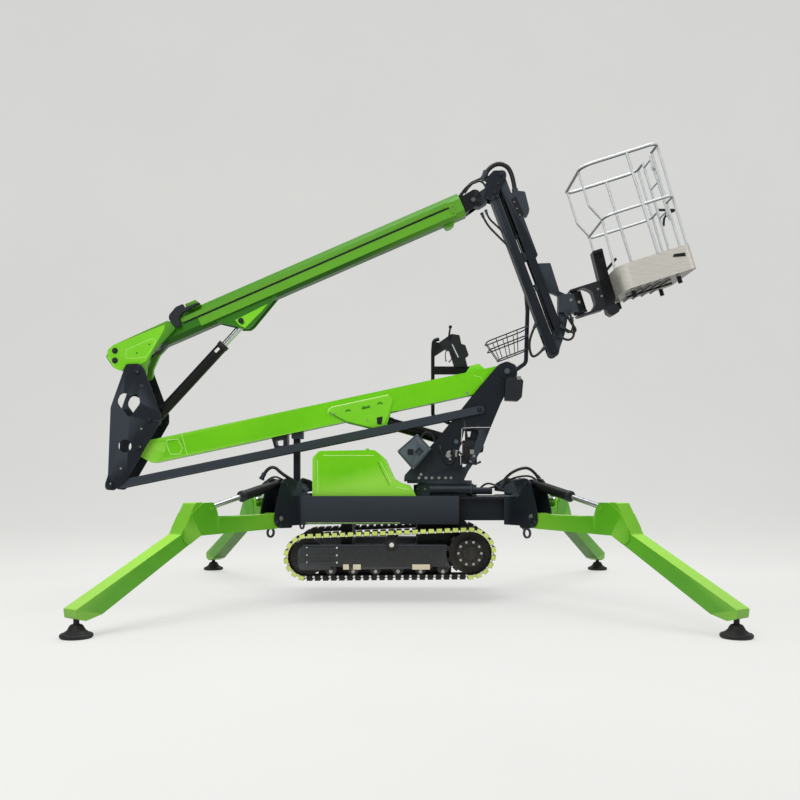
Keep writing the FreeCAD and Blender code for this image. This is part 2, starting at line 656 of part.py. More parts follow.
def make_riser():
    plates = pair(RISER_OUTLINE, *RISER_PLATE)
    heart = [(-2524, 1640, 24), (-2636, 1790, 60), (-2590, 1890, 50), (-2520, 1850, 40), (-2440, 1888, 50),
             (-2420, 1780, 50)]
    cutters = [plate(heart, -300, 300), pin((-2561, 1386), 60, 300)]
    plates = [cut(p, cutters) for p in plates]
    spacers = [pin((-2407, 1928), 26, RISER_PLATE[0] + 4), pin((-2640, 1560), 26, RISER_PLATE[0] + 4),
               pin((-2603, 1170), 24, 118)]
    spacers[2] = pin((-2603, 1170), 24, RISER_PLATE[0] + 4)
    pins = [pin(PIN_UPPER, 28, RISER_PLATE[1] + 10), pin(PIN_BOOM_TIP, 28, RISER_PLATE[1] + 10),
            pin(PIN_LUFF_FOOT, 25, RISER_PLATE[1] + 10), pin(PIN_LINK_TIP, 22, RISER_PLATE[1] + 10)]
    return join(plates + spacers + pins)


def cylinder_barrel(foot, rod_pin, radius, length, eye_r, eye_half, pin_r, rod_r):
    eye = disc(foot, eye_r, -eye_half, eye_half)
    body = along(foot, rod_pin, radius, eye_r * 0.7, length)
    gland = along(foot, rod_pin, radius + 5, length, length + 40)
    shell = join([eye, body, gland])
    hole = along(foot, rod_pin, rod_r + 3, eye_r + 30, length)
    mouth = along(foot, rod_pin, rod_r + GLAND_CLEARANCE, length - 10, length + 60)
    return cut(shell, [disc(foot, pin_r + PIN_CLEARANCE, -200, 200), hole, mouth])


def cylinder_rod(foot, rod_pin, rod_r, start, eye_r, eye_half, pin_r):
    length = math.hypot(rod_pin[0] - foot[0], rod_pin[1] - foot[1])
    body = along(foot, rod_pin, rod_r, start, length - eye_r * 0.7)
    eye = disc(rod_pin, eye_r, -eye_half, eye_half)
    return cut(join([body, eye]), [disc(rod_pin, pin_r + 1.0, -200, 200)])


def hollow_section(inset):
    """Inside of the upper boom tube, drawn in by inset on every side."""
    low, high = UPPER_FLOOR, UPPER_FLOOR + UPPER_HEIGHT
    side = [(60 - inset, low + 20 + inset), (76 - inset, low + 40), (76 - inset, high - 50),
            (56 - inset, high - 20 - inset)]
    return side + [(-y, n) for y, n in reversed(side)]


def inner_section(grow):
    """Outside of the inner boom tube, grown by grow on every side."""
    low, high = UPPER_FLOOR + 34 - grow, UPPER_FLOOR + UPPER_HEIGHT - 44 + grow
    half = 66 + grow
    return [(-half, low, 8), (half, low, 8), (half, high, 8), (-half, high, 8)]


def make_upper_boom():
    low, high = UPPER_FLOOR, UPPER_FLOOR + UPPER_HEIGHT
    half = UPPER_BOOM_HALF
    section = [
        (-half + 40, low), (half - 40, low), (half, low + 45), (half, high - 62), (half - 40, high),
        (-half + 40, high), (-half, high - 62), (-half, low + 45),
    ]
    body = upper_bar(section, -110, UPPER_END)
    rear_top = upper_plate([(-140, 313), (440, 318), (474, high + 1), (474, 500), (-140, 500)], -200, 200)
    body = cut(body, [rear_top, upper_bar(hollow_section(0), 500, UPPER_END + 50)])
    pads = []
    for t in (2400, UPPER_END - 62):
        ring = upper_bar(hollow_section(-1), t, t + 60)
        pads.append(ring.cut(upper_bar(inner_section(PIN_CLEARANCE), t - 10, t + 80)))
    cheek = [(-2747, 2212, 30), (-2673, 2318, 20), (-2170, 2545, 30), (-2100, 2470, 20), (-2311, 2250, 60),
             (-2370, 2120, 40), (-2380, 2010, 50), (-2520, 2010, 50), (-2560, 2090, 30), (-2673, 2105, 40)]
    cheeks = pair(cheek, half - 12, UPPER_CHEEK[1])
    top = UPPER_FLOOR + 22.6
    lugs = [(826, top), (985, 37, 20), (1017, 0, 30), (1089, -31, 20), (1133, -20, 30), (1478, top)]
    fork = [upper_plate(lugs, -75, -55), upper_plate(lugs, 55, 75)]
    rod_pins = [disc(PIN_LUFF_ROD, 22, -80, -50), disc(PIN_LUFF_ROD, 22, 50, 80)]
    clamp = upper_plate([(636, 340), (640, 409, 6), (745, 407, 6), (775, 340)], -85, 30)
    clamp = clamp.cut(upper_bar(hollow_section(0), 500, 900))
    stop = [(UPPER_END - 230, 140), (UPPER_END - 215, 92, 14), (UPPER_END - 172, 88, 20), (UPPER_END - 130, 104, 14),
            (UPPER_END - 125, 140)]
    stop_lug = upper_plate(stop, -50, 50)
    body = join([body] + pads + cheeks + fork + rod_pins + [clamp, stop_lug])
    front_slot = [(UPPER_END - 365, 208, 6), (UPPER_END - 330, 246, 20), (UPPER_END - 130, 246, 38),
                  (UPPER_END - 130, 166, 38), (UPPER_END - 215, 166, 20), (UPPER_END - 300, 208, 6)]
    front_slot = upper_plate(front_slot, -half - 5, -70)
    return cut(body, [pin(PIN_UPPER, 28.3, 300), front_slot])


def make_side_channel():
    end = UPPER_END - 98
    outline = [(546, 258, 18), (546, 300, 18), (end, 300, 40), (end, 185, 12), (end - 27, 185, 12),
               (end - 27, 262, 20), (end - 60, 262, 4), (end - 60, 258, 3)]
    return upper_plate(outline, -UPPER_BOOM_HALF - 12, -UPPER_BOOM_HALF - 0.2)


def make_cable_chain():
    outline = [(490, 226, 10), (455, 325, 40), (472, 362, 40), (560, 405, 50), (630, 405, 8), (630, 368, 8),
               (772, 360, 4), (772, 348, 4), (600, 335, 30), (541, 302, 40), (540, 236, 10)]
    return upper_plate(outline, -UPPER_BOOM_HALF - 45, -UPPER_BOOM_HALF - 0.2)


def make_inner_boom():
    low, high = UPPER_FLOOR + 34, UPPER_FLOOR + UPPER_HEIGHT - 44
    body = upper_bar(inner_section(0), 560, UPPER_END + 38)
    hollow = upper_bar([(-56, low + 10), (56, low + 10), (56, high - 10), (-56, high - 10)], 540, UPPER_END - 40)
    body = body.cut(hollow)
    plates = pair([upper(UPPER_END + 12, 150) + (10,), upper(UPPER_END + 12, 300) + (10,), (640, 3764, 30),
                   (690, 3762, 40), (722, 3690, 30), (720, 3655, 30), (663, 3612, 30)], 70, 84)
    neck = upper_bar([(-84, low - 10), (84, low - 10), (84, high + 14), (-84, high + 14)], UPPER_END + 6,
                     UPPER_END + 38)
    head_pin = pin(PIN_HEAD, 25, 92)
    return join([body, neck] + plates + [head_pin])


def make_boom_head():
    tongue = plate([(590, 3640, 30), (600, 3715, 30), (680, 3740, 40), (770, 3800), (860, 3800), (860, 3690, 30),
                    (790, 3665, 40), (700, 3610, 30)], -50, 50)
    side = [(735, 3690, 20), (770, 3790, 30), (772, 3880, 20), (830, 3942, 30), (942, 3944, 30), (950, 3880, 30),
            (890, 3790, 30), (880, 3700, 30), (820, 3672, 30)]
    cheeks = pair(side, JIB_HALF + 6, JIB_HALF + 18)
    bridge = box(742, 790, -78, 78, 3700, 3800)
    bridge = plate([(740, 3700), (760, 3800), (800, 3830), (772, 3700)], -78, 78)
    pins = [pin(PIN_JIB, 22, 84), pin(PIN_JIB_LINK, 20, 84), pin(PIN_JIB_CYL, 14, 84)]
    tongue = tongue.cut(box(772, 900, -80, 80, 3600, 3900))
    body = join([tongue, bridge] + cheeks + pins)
    return body.cut(pin(PIN_HEAD, 25.3, 51))


def make_jib_beam():
    length = math.hypot(PIN_JIB_END[0] - PIN_JIB[0], PIN_JIB_END[1] - PIN_JIB[1])
    outline = sheared([(-40, -50, 34), (-40, 32, 34), (length + 50, 32, 40), (length + 50, -55, 44)],
                      PIN_JIB, PIN_JIB_END)
    body = plate(outline, -JIB_HALF, JIB_HALF)
    slot = plate(sheared([(length - 190, -120), (length - 190, 120), (length + 120, 120), (length + 120, -120)],
                         PIN_JIB, PIN_JIB_END), -36, 36)
    void = plate(sheared([(90, 22), (90, -42), (length - 220, -42), (length - 220, 22)], PIN_JIB, PIN_JIB_END),
                 -JIB_HALF + 10, JIB_HALF - 10)
    ear = sheared([(600, 26), (620, 84, 24), (680, 84, 24), (700, 26)], PIN_JIB, PIN_JIB_END)
    lug = plate(ear, 31, 40)
    other = plate(ear, -40, -31)
    stubs = [disc(PIN_JIB_ROD, 12, -40, -17), disc(PIN_JIB_ROD, 12, 17, 40)]
    channel = plate(sheared([(40, 12), (40, 60), (712, 60), (712, 12)], PIN_JIB, PIN_JIB_END), -31, 31)
    body = cut(body, [slot, void, channel])
    body = join([body, lug, other] + stubs + [pin(PIN_JIB_END, 20, JIB_HALF + 4)])
    return cut(body, [pin(PIN_JIB, 22.3, 100)])


def make_jib_link():
    length = math.hypot(PIN_JIB_END[0] - PIN_JIB[0], PIN_JIB_END[1] - PIN_JIB[1])
    outline = sheared([(-36, -36, 34), (-36, 36, 34), (length + 36, 36, 34), (length + 36, -36, 34)],
                      PIN_JIB_LINK, PIN_JIB_LINK_END)
    sides = pair(outline, 46, JIB_HALF)
    cover = plate(sheared([(400, 24), (415, 64, 8), (820, 64, 16), (835, 24)], PIN_JIB_LINK, PIN_JIB_LINK_END),
                  -JIB_HALF, JIB_HALF)
    body = join(sides + [cover, pin(PIN_JIB_LINK_END, 20, JIB_HALF + 4)])
    return cut(body, [pin(PIN_JIB_LINK, 20.3, 100)])


def make_jib_box():
    face = 36.2
    top = sheared([(190, face), (185, face + 50, 10), (222, face + 125, 16), (390, face + 105, 16),
                   (435, face + 78, 16), (392, face)], PIN_JIB_LINK, PIN_JIB_LINK_END)
    return plate(top, -JIB_HALF, JIB_HALF)


def make_jib_head():
    tongue = plate([(1350, 2225, 44), (1340, 2300, 30), (1400, 2470, 30), (1440, 2600), (1440, 2790), (1345, 2830),
                    (1240, 3092, 10), (1364, 3096, 10), (1448, 2832), (1520, 2800, 10), (1530, 2610, 10),
                    (1500, 2440, 40), (1452, 2300, 30), (1440, 2225, 44)], -30, 30)
    block = plate([(1440, 2632), (1440, 2802), (1610, 2802), (1630, 2632)], -58, 58)
    axis = rotator_axis()
    start = vec(ROTATOR_CENTRE[0], 0, ROTATOR_CENTRE[1]) - axis * 200
    body = join([tongue, block]).cut(Part.makeCylinder(ROTATOR_R + 0.3, 400, start, axis))
    body = body.cut(Part.makeCylinder(ROTATOR_R + 4.3, 120, start, axis))
    return cut(body, [pin(PIN_JIB_END, 20.3, 100), pin(PIN_JIB_LINK_END, 20.3, 100)])


def rotator_axis():
    return vec(-math.sin(BASKET_TILT), 0, math.cos(BASKET_TILT))


def make_rotator():
    axis = rotator_axis()
    centre = vec(ROTATOR_CENTRE[0], 0, ROTATOR_CENTRE[1])
    body = Part.makeCylinder(ROTATOR_R, 200, centre - axis * 100, axis)
    rim_low = Part.makeCylinder(ROTATOR_R + 4, 14, centre - axis * 100, axis)
    stub = Part.makeCylinder(30, 252, centre - axis * 126, axis)
    return join([body, rim_low, stub])


def make_basket_yoke():
    axis = rotator_axis()
    centre = vec(ROTATOR_CENTRE[0], 0, ROTATOR_CENTRE[1])

    def local(points):
        out = []
        for a, h, *r in points:
            x = centre.x + math.cos(BASKET_TILT) * a - math.sin(BASKET_TILT) * h
            z = centre.z + math.sin(BASKET_TILT) * a + math.cos(BASKET_TILT) * h
            out.append((x, z) + tuple(r))
        return out

    outer = local([(-54, -132, 30), (-54, 136, 20), (246, 136, 6), (232, -132, 40)])
    inner = local([(-100, -112), (-100, 116), (90, 116, 60), (152, 62, 60), (152, -60, 60), (90, -112, 60)])
    bracket = plate(outer, -60, 60).cut(plate(inner, -90, 90))
    bore = Part.makeCylinder(30.4, 500, centre - axis * 250, axis)
    side = [(226, -175, 30), (264, 415, 12), (362, 415, 12), (343.6, 164), (343.6, -60, 10), (318, -110, 10),
            (345, -130, 10), (345, -195, 30), (262, -212, 20)]
    mast = plate(local(side), -55, 55)
    slots = [plate(local([(262, 330, 12), (266, 385, 12), (340, 385, 12), (330, 330, 12)]), 40, 60),
             plate(local([(262, 330, 12), (266, 385, 12), (340, 385, 12), (330, 330, 12)]), -60, -40)]
    grip = rod(*[(p[0], 0, p[1]) for p in local([(335, 205), (470, 292)])], 13)
    return join([bracket.cut(bore), cut(mast, slots), grip])


def make_basket_pan():
    half = BASKET_HALF + 8
    rim = [(88, -half, 110), (768, -half, 60), (768, half, 60), (88, half, 110)]
    half -= 12
    inner = [(100, -half, 98), (756, -half, 48), (756, half, 48), (100, half, 98)]
    pan = slab(rim, PAN_FLOOR, PAN_TOP).cut(slab(inner, PAN_FLOOR + 12, PAN_TOP + 20))
    feet = [Part.makeCylinder(20, 76, vec(a, y, PAN_FLOOR - 76), vec(0, 0, 1)) for a in (190, 620) for y in (-290, 290)]
    ribs = [box(a, a + 14, -330, 330, PAN_FLOOR - 22, PAN_FLOOR) for a in (250, 340, 430, 520)]
    ribs.append(box(200, 640, -18, 18, PAN_FLOOR - 30, PAN_FLOOR))
    return in_basket(join([pan] + feet + ribs))


def make_basket_rails():
    w = BASKET_HALF
    top = tube([(775, -150, 1200), (775, -w, 1200), (42, -w, 1200), (42, w, 1200), (775, w, 1200),
                (775, 150, 1200)], 15, 110)
    mid = tube([(766, -150, 715), (766, -w, 715), (116, -w, 715), (116, w, 715), (766, w, 715),
                (766, 150, 715)], 12, 100)
    foot = PAN_TOP + 0.2
    posts = []
    for y in (-w, w):
        posts.append(rod((467, y, foot), (467, y, 1200), 14))
    for y in (-285, 285):
        posts.append(tube([(94, y, foot), (94, y, foot + 40), (116, y, 715), (41, y, 872), (42, y, 1200)], 11, 38))
    for y in (-150, -330, 150, 330):
        posts.append(rod((762, y, foot), (775, y, 1200), 12))
    knuckles = []
    for h in (600, 1050):
        knuckles.append(box(752, 774, -150, -118, h, h + 30))
        knuckles.append(Part.makeCylinder(20, 30, vec(GATE_HINGE[0], GATE_HINGE[1], h), vec(0, 0, 1)))
    bore = Part.makeCylinder(11 + PIN_CLEARANCE, 700, vec(GATE_HINGE[0], GATE_HINGE[1], 520), vec(0, 0, 1))
    return in_basket(join([top, mid] + posts + knuckles).cut(bore))


def make_gate():
    bars = [rod((763, -112, h), (763, 120, h), r) for h, r in ((650, 9), (930, 8), (1150, 9))]
    stiles = [rod((GATE_HINGE[0], GATE_HINGE[1], 560), (GATE_HINGE[0], GATE_HINGE[1], 1180), 11),
              rod((763, 120, 640), (763, 120, 1180), 11)]
    latch = box(752, 774, 120, 136, 1080, 1120)
    return in_basket(join(bars + stiles + [latch]))


def make_control_stand():
    post = tube([(480, TURRET_PLATE[1] + 0.2, 1610), (480, 400, 1610), (282, 400, 1700), (282, 400, 2330),
                 (290, 400, 2440), (345, 400, 2450)], 18, 40)
    bar = box(282, 654, 385, 415, 2104, 2182)
    outline = [(284, 2424, 10), (340, 2412, 10), (463, 2497, 14), (542, 2486, 20), (559, 2400, 10), (598, 2388, 12),
               (632, 2289, 10), (598, 2262, 8), (621, 2175), (491, 2175), (441, 2334, 14), (396, 2346, 20),
               (284, 2272, 10)]
    console = plate(outline, 366, 434)
    slot = plate([(463, 2400, 4), (477, 2404, 4), (540, 2272, 4), (526, 2266, 4)], 340, 460)
    lever = rod((440, 400, 2480), (452, 400, 2560), 9)
    knob = Part.makeSphere(17, vec(454, 400, 2570))
    return join([post, bar, console, lever, knob]).cut(slot)


def make_wire_basket():
    posts = tube([(1060, 260, 2120), (1175, 260, 2200), (1190, 260, 2700), (1170, 260, 2960)], 20, 60)
    foot = tube([(980, 121.3, 2110), (980, 200, 2110), (1060, 260, 2120), (1100, 262, 2150)], 16, 30)
    slope = 0.39
    rings = []
    for x0, x1, z, y0, y1 in ((790, 1174, 2385, 110, 420), (812, 1172, 2310, 125, 405), (905, 1168, 2220, 150, 380)):
        rise = (x1 - x0) * slope
        mid = (y0 + y1) / 2
        rings.append(tube([(x0, mid, z), (x0, y0, z), (x1, y0, z + rise), (x1, y1, z + rise), (x0, y1, z),
                           (x0, mid - 1, z)], 6, 55))
    wires = []
    for x_top, x_low in ((870, 935), (970, 1010), (1070, 1085)):
        for y_top, y_low in ((110, 150), (420, 380)):
            wires.append(rod((x_top, y_top, 2385 + (x_top - 790) * slope), (x_low, y_low, 2220 + (x_low - 905) * slope), 4))
    for y in (230, 300):
        wires.append(rod((790, y, 2385), (905, y, 2220), 4))
    return post_group([posts, foot], rings, wires)


def post_group(posts, rings, wires):
    return join(posts + rings + wires)


def build():
    nodes = {}
    nodes["chassis_frame"] = make_chassis()
    for name, side in (("near", -1), ("far", 1)):
        nodes["track_" + name] = make_track(side)
        nodes["track_wheels_" + name] = make_track_wheels(side)
        nodes["track_frame_" + name] = make_track_frame(side)
    nodes["engine_cover"] = make_engine_cover()
    nodes["engine"] = make_engine()
    nodes["boom_rest"] = make_boom_rest()
    nodes["slew_ring"] = make_slew_ring()
    nodes["slew_drive"] = make_slew_drive()
    nodes["turret_frame"] = make_turret()
    nodes["valve_block"] = make_valve_block()
    nodes["control_box"] = make_control_box()
    nodes["hose_box"] = make_hose_box()
    nodes["control_stand"] = make_control_stand()
    nodes["wire_basket"] = make_wire_basket()
    nodes["lower_boom"] = make_lower_boom()
    nodes["hose_bracket"] = make_hose_bracket()
    nodes["link_bars"] = make_link_bars()
    nodes["riser"] = make_riser()
    nodes["lift_cylinder_barrel"] = cylinder_barrel(PIN_LIFT_FOOT, PIN_LIFT_ROD, 55, 620, 55, 85, 25, 32)
    nodes["lift_cylinder_rod"] = cylinder_rod(PIN_LIFT_FOOT, PIN_LIFT_ROD, 32, 200, 45, 66, 22)
    nodes["upper_boom"] = make_upper_boom()
    nodes["side_channel"] = make_side_channel()
    nodes["cable_chain"] = make_cable_chain()
    nodes["inner_boom"] = make_inner_boom()
    nodes["boom_head"] = make_boom_head()
    nodes["luff_cylinder_barrel"] = cylinder_barrel(PIN_LUFF_FOOT, PIN_LUFF_ROD, 50, 930, 50, 80, 25, 30)
    nodes["luff_cylinder_rod"] = cylinder_rod(PIN_LUFF_FOOT, PIN_LUFF_ROD, 30, 300, 34, 44, 22)
    nodes["jib_beam"] = make_jib_beam()
    nodes["jib_link"] = make_jib_link()
    nodes["jib_box"] = make_jib_box()
    nodes["jib_cylinder_barrel"] = cylinder_barrel(PIN_JIB_CYL, PIN_JIB_ROD, 20, 490, 22, 18, 14, 12)
    nodes["jib_cylinder_rod"] = cylinder_rod(PIN_JIB_CYL, PIN_JIB_ROD, 12, 250, 20, 16, 12)
    nodes["jib_head"] = make_jib_head()
    nodes["rotator"] = make_rotator()
    nodes["basket_yoke"] = make_basket_yoke()
    nodes["basket_pan"] = make_basket_pan()
    nodes["basket_rails"] = make_basket_rails()
    nodes["basket_gate"] = make_gate()
    leg, pad, barrel, leg_rod = make_leg(), make_pad(), make_leg_barrel(), make_leg_rod()
    for name, side_x, side_y in LEG_CORNERS:
        nodes["outrigger_leg_" + name] = in_leg(leg, side_x, side_y)
        nodes["outrigger_pad_" + name] = in_leg(pad, side_x, side_y)
        nodes["outrigger_barrel_" + name] = in_leg(barrel, side_x, side_y)
        nodes["outrigger_rod_" + name] = in_leg(leg_rod, side_x, side_y)
    for shape in nodes.values():
        shape.translate(vec(SHIFT_X, 0, 0))
    return nodes


def export(nodes):
    os.makedirs("parts", exist_ok=True)
    for name, shape in nodes.items():
        shape.exportStep("parts/" + name + ".step")


if __name__ == "__main__":
    export(build())
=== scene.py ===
import json
import math

import bmesh
import bpy
from mathutils import Matrix, Vector
from mathutils.bvhtree import BVHTree


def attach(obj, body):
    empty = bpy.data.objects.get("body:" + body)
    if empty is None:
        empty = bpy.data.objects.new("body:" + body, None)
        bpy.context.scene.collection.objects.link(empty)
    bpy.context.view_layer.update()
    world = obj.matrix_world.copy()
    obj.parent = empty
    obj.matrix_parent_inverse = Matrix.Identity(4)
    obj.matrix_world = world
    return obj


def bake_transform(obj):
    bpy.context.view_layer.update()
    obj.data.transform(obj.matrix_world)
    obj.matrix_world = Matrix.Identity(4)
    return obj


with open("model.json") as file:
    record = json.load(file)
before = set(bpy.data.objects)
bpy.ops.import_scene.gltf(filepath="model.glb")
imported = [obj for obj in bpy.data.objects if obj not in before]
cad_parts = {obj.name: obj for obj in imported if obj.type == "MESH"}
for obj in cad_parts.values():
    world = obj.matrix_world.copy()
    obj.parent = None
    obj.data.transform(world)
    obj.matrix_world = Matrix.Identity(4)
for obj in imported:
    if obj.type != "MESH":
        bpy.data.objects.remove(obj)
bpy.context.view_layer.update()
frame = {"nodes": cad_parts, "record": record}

MM = 0.001

# The chassis middle stands this far along X from the frame's origin
SHIFT = 0.075


def in_frame(x, y, z):
    """Millimetres from the middle of the chassis to metres in the frame."""
    return Vector((x * MM + SHIFT, y * MM, z * MM))


def mirrored(v):
    return Vector((v.x, -v.y, v.z))


# Camera, and where a point of the photograph lies on the machine

EYE = Vector((SHIFT, -8.5, 1.12))
EYE_PX = (404.0, 475.0)
FOCAL_PX = 909.0
FRAME_PX = 800.0
SENSOR_MM = 36.0


def sighted(px, py, depth):
    """Point behind an image position, at a depth in millimetres behind the machine's middle plane."""
    ray = Vector(((px - EYE_PX[0]) / FOCAL_PX, 1.0, (EYE_PX[1] - py) / FOCAL_PX))
    return EYE + ray * (depth * MM - EYE.y)


TREES = {}


def tree_of(node):
    """Search tree of one CAD node's mesh, made once."""
    if node not in TREES:
        mesh = frame["nodes"][node].data
        corners = [v.co for v in mesh.vertices]
        TREES[node] = BVHTree.FromPolygons(corners, [tuple(p.vertices) for p in mesh.polygons])
    return TREES[node]


def seen(px, py, nodes):
    """Place and normal of the first surface of the given CAD nodes behind an image position."""
    nearest = None
    ray = (sighted(px, py, 0) - EYE).normalized()
    for node in nodes:
        place, normal, _, distance = tree_of(node).ray_cast(EYE, ray)
        if place is not None and (nearest is None or distance < nearest[2]):
            nearest = (place, normal, distance)
    if nearest is None:
        raise ValueError(f"nothing of {nodes} lies behind {px}, {py}")
    return nearest[0], nearest[1]


# Materials

# Sockets of a colour mix
MIX_A, MIX_B, MIX_RESULT = 6, 7, 2


def rgb(hexa):
    """sRGB hex to linear colour."""
    out = []
    for i in (0, 2, 4):
        c = int(hexa[i:i + 2], 16) / 255.0
        out.append(c / 12.92 if c <= 0.04045 else ((c + 0.055) / 1.055) ** 2.4)
    return tuple(out) + (1.0,)


class Finish:
    """Node tree of one material."""

    def __init__(self, material):
        material.use_nodes = True
        self.material = material
        self.tree = material.node_tree
        self.bsdf = self.tree.nodes["Principled BSDF"]

    def add(self, kind, **settings):
        node = self.tree.nodes.new(kind)
        for key, value in settings.items():
            setattr(node, key, value)
        return node

    def link(self, source, out, target, into):
        self.tree.links.new(source.outputs[out], target.inputs[into])

    def set(self, **values):
        """Inputs of the shader by name, with underscores for spaces."""
        for key, value in values.items():
            self.bsdf.inputs[key.replace("_", " ")].default_value = value

    def noise(self, scale, detail, rough, stretch=(1, 1, 1)):
        mapping = self.add("ShaderNodeMapping")
        mapping.inputs["Scale"].default_value = stretch
        self.link(self.add("ShaderNodeTexCoord"), "Object", mapping, "Vector")
        texture = self.add("ShaderNodeTexNoise")
        texture.inputs["Scale"].default_value = scale
        texture.inputs["Detail"].default_value = detail
        texture.inputs["Roughness"].default_value = rough
        self.link(mapping, "Vector", texture, "Vector")
        return texture

    def ramp(self, source, out, low, high, at_low, at_high):
        node = self.add("ShaderNodeMapRange")
        node.inputs["From Min"].default_value = low
        node.inputs["From Max"].default_value = high
        node.inputs["To Min"].default_value = at_low
        node.inputs["To Max"].default_value = at_high
        self.link(source, out, node, "Value")
        return node

    def mix(self, ramp, a, b):
        """Blend of two colours or earlier mixes by a ramp."""
        node = self.add("ShaderNodeMix", data_type="RGBA")
        self.link(ramp, 0, node, 0)
        for socket, value in ((MIX_A, a), (MIX_B, b)):
            if isinstance(value, tuple):
                node.inputs[socket].default_value = value
            else:
                self.link(value, MIX_RESULT, node, socket)
        return node

    def facing(self):
        """Surface direction, split in X, Y and Z."""
        parts = self.add("ShaderNodeSeparateXYZ")
        self.link(self.add("ShaderNodeNewGeometry"), "Normal", parts, "Vector")
        return parts

    def colour(self, mix):
        self.link(mix, MIX_RESULT, self.bsdf, "Base Color")

    def roughness(self, texture, low, high, least, most):
        self.link(self.ramp(texture, "Fac", low, high, least, most), "Result", self.bsdf, "Roughness")

    def bump(self, texture, strength, distance):
        node = self.add("ShaderNodeBump")
        node.inputs["Strength"].default_value = strength
        node.inputs["Distance"].default_value = distance
        self.link(texture, "Fac", node, "Height")
        self.link(node, "Normal", self.bsdf, "Normal")


DUST = "a79f8c"
DUST_FROM, DUST_UP_TO, DUST_MOST = 0.02, 0.75, 0.28
# Painted highlight along sharp edges: where it starts, where it is full, and its largest share
EDGE_HIGHLIGHT_FROM, EDGE_HIGHLIGHT_FULL, EDGE_HIGHLIGHT_MOST = 0.53, 0.60, 0.5
DRIFT_SCALE, SPECK_SCALE, PEEL_SCALE = 1.7, 34, 420


def paint(name, colour, drifted, edge_highlight, rough, coat=0.25, upper=None, under=None, gloss=0.4):
    """Sprayed paint: broad colour drift, fine orange peel and dust low down, with painted light: a painted
    highlight on faces that look up and along sharp edges, and painted shade on faces that look down.
    """
    n = Finish(bpy.data.materials.new(name))
    drift = n.ramp(n.noise(DRIFT_SCALE, 4, 0.6), "Fac", 0.35, 0.7, 0, 1)
    base = n.mix(drift, rgb(colour), rgb(drifted))
    facing = n.facing()
    # Painted light: lighter on faces that look up (painted highlight), darker on faces that look down
    # (painted shade)
    base = n.mix(n.ramp(facing, "Z", 0.35, 0.9, 0, 0.85), base, rgb(upper or colour))
    base = n.mix(n.ramp(facing, "Z", -0.15, -0.8, 0, 0.8), base, rgb(under or drifted))
    geometry = n.add("ShaderNodeNewGeometry")
    # Painted highlight: a lighter colour along sharp edges
    edge = n.ramp(geometry, "Pointiness", EDGE_HIGHLIGHT_FROM, EDGE_HIGHLIGHT_FULL, 0, EDGE_HIGHLIGHT_MOST)
    base = n.mix(edge, base, rgb(edge_highlight))
    place = n.add("ShaderNodeSeparateXYZ")
    n.link(geometry, "Position", place, "Vector")
    dusty = n.add("ShaderNodeMath", operation="MULTIPLY")
    n.link(n.ramp(place, "Z", DUST_FROM, DUST_UP_TO, DUST_MOST, 0), "Result", dusty, 0)
    n.link(n.noise(SPECK_SCALE, 5, 0.7), "Fac", dusty, 1)
    n.colour(n.mix(dusty, base, rgb(DUST)))
    n.roughness(n.noise(9, 4, 0.6), 0.3, 0.7, rough - 0.06, rough + 0.08)
    n.set(Coat_Weight=coat, Coat_Roughness=0.15, Specular_IOR_Level=gloss)
    n.bump(n.noise(PEEL_SCALE, 2, 0.5), 0.12, 0.0006)
    return n.material


def metal(name, colour, other, rough, grain, strength, stretch=(1, 1, 1), metallic=1.0, under=None):
    """Bare metal with a directional grain, and painted shade on faces that look down."""
    n = Finish(bpy.data.materials.new(name))
    fine = n.noise(grain, 6, 0.65, stretch)
    base = n.mix(n.ramp(fine, "Fac", 0.3, 0.7, 0, 1), rgb(colour), rgb(other))
    n.colour(n.mix(n.ramp(n.facing(), "Z", -0.1, -0.65, 0, 0.9), base, rgb(under or other)))
    n.set(Metallic=metallic)
    n.roughness(fine, 0.25, 0.75, rough - 0.05, rough + 0.1)
    n.bump(fine, strength, 0.0005)
    return n.material


def rubber(name, colour, other, rough, grain=90.0):
    """Moulded rubber: cloudy tone and a fine grain."""
    n = Finish(bpy.data.materials.new(name))
    cloud = n.noise(6, 5, 0.6)
    n.colour(n.mix(n.ramp(cloud, "Fac", 0.35, 0.7, 0, 1), rgb(colour), rgb(other)))
    n.roughness(cloud, 0.3, 0.7, rough - 0.08, rough + 0.1)
    n.bump(n.noise(grain, 4, 0.6), 0.35, 0.001)
    return n.material


def darken_below(material, up, plane, dark, soft=0.006):
    """Painted shade: dark colour below a plane that stands across the given direction."""
    n = Finish(material)
    height = n.add("ShaderNodeVectorMath", operation="DOT_PRODUCT")
    height.inputs[1].default_value = up
    n.link(n.add("ShaderNodeTexCoord"), "Object", height, 0)
    base = n.bsdf.inputs["Base Color"].links[0].from_node
    n.colour(n.mix(n.ramp(height, "Value", plane - soft, plane + soft, 1, 0), base, rgb(dark)))


# Paints: name, colour, drifted colour, painted highlight at sharp edges, roughness, coat, painted highlight
# facing up, painted shade facing down, gloss
GREEN = paint("green_paint", "7cdc08", "6ecf06", "b4f060", 0.4, 0.08, "a8f23c", "225604", 0.25)
# Painted shade: a darker copy of the green, for the shaded upper boom and side channel, shaded recesses and
# seams
GREEN_SHADED = paint("green_painted_shade", "2f7a07", "286d05", "7cc23a", 0.42, 0.08, "4f9e14", "143a02", 0.25)
# Painted highlight: a lighter copy of the shaded green, for the lit band along the upper boom's sides
GREEN_LIT_BAND = paint("green_lit_band", "4c9c08", "429006", "8ad03c", 0.4, 0.08, "9ae23c", "1c4a03", 0.25)
# Painted shade: a darker copy of the green, for the outrigger legs' shaded sides
GREEN_LEG_SHADED = paint("green_leg_shaded", "58b008", "4ca105", "9ad84a", 0.4, 0.08, "aef248", "225604", 0.25)
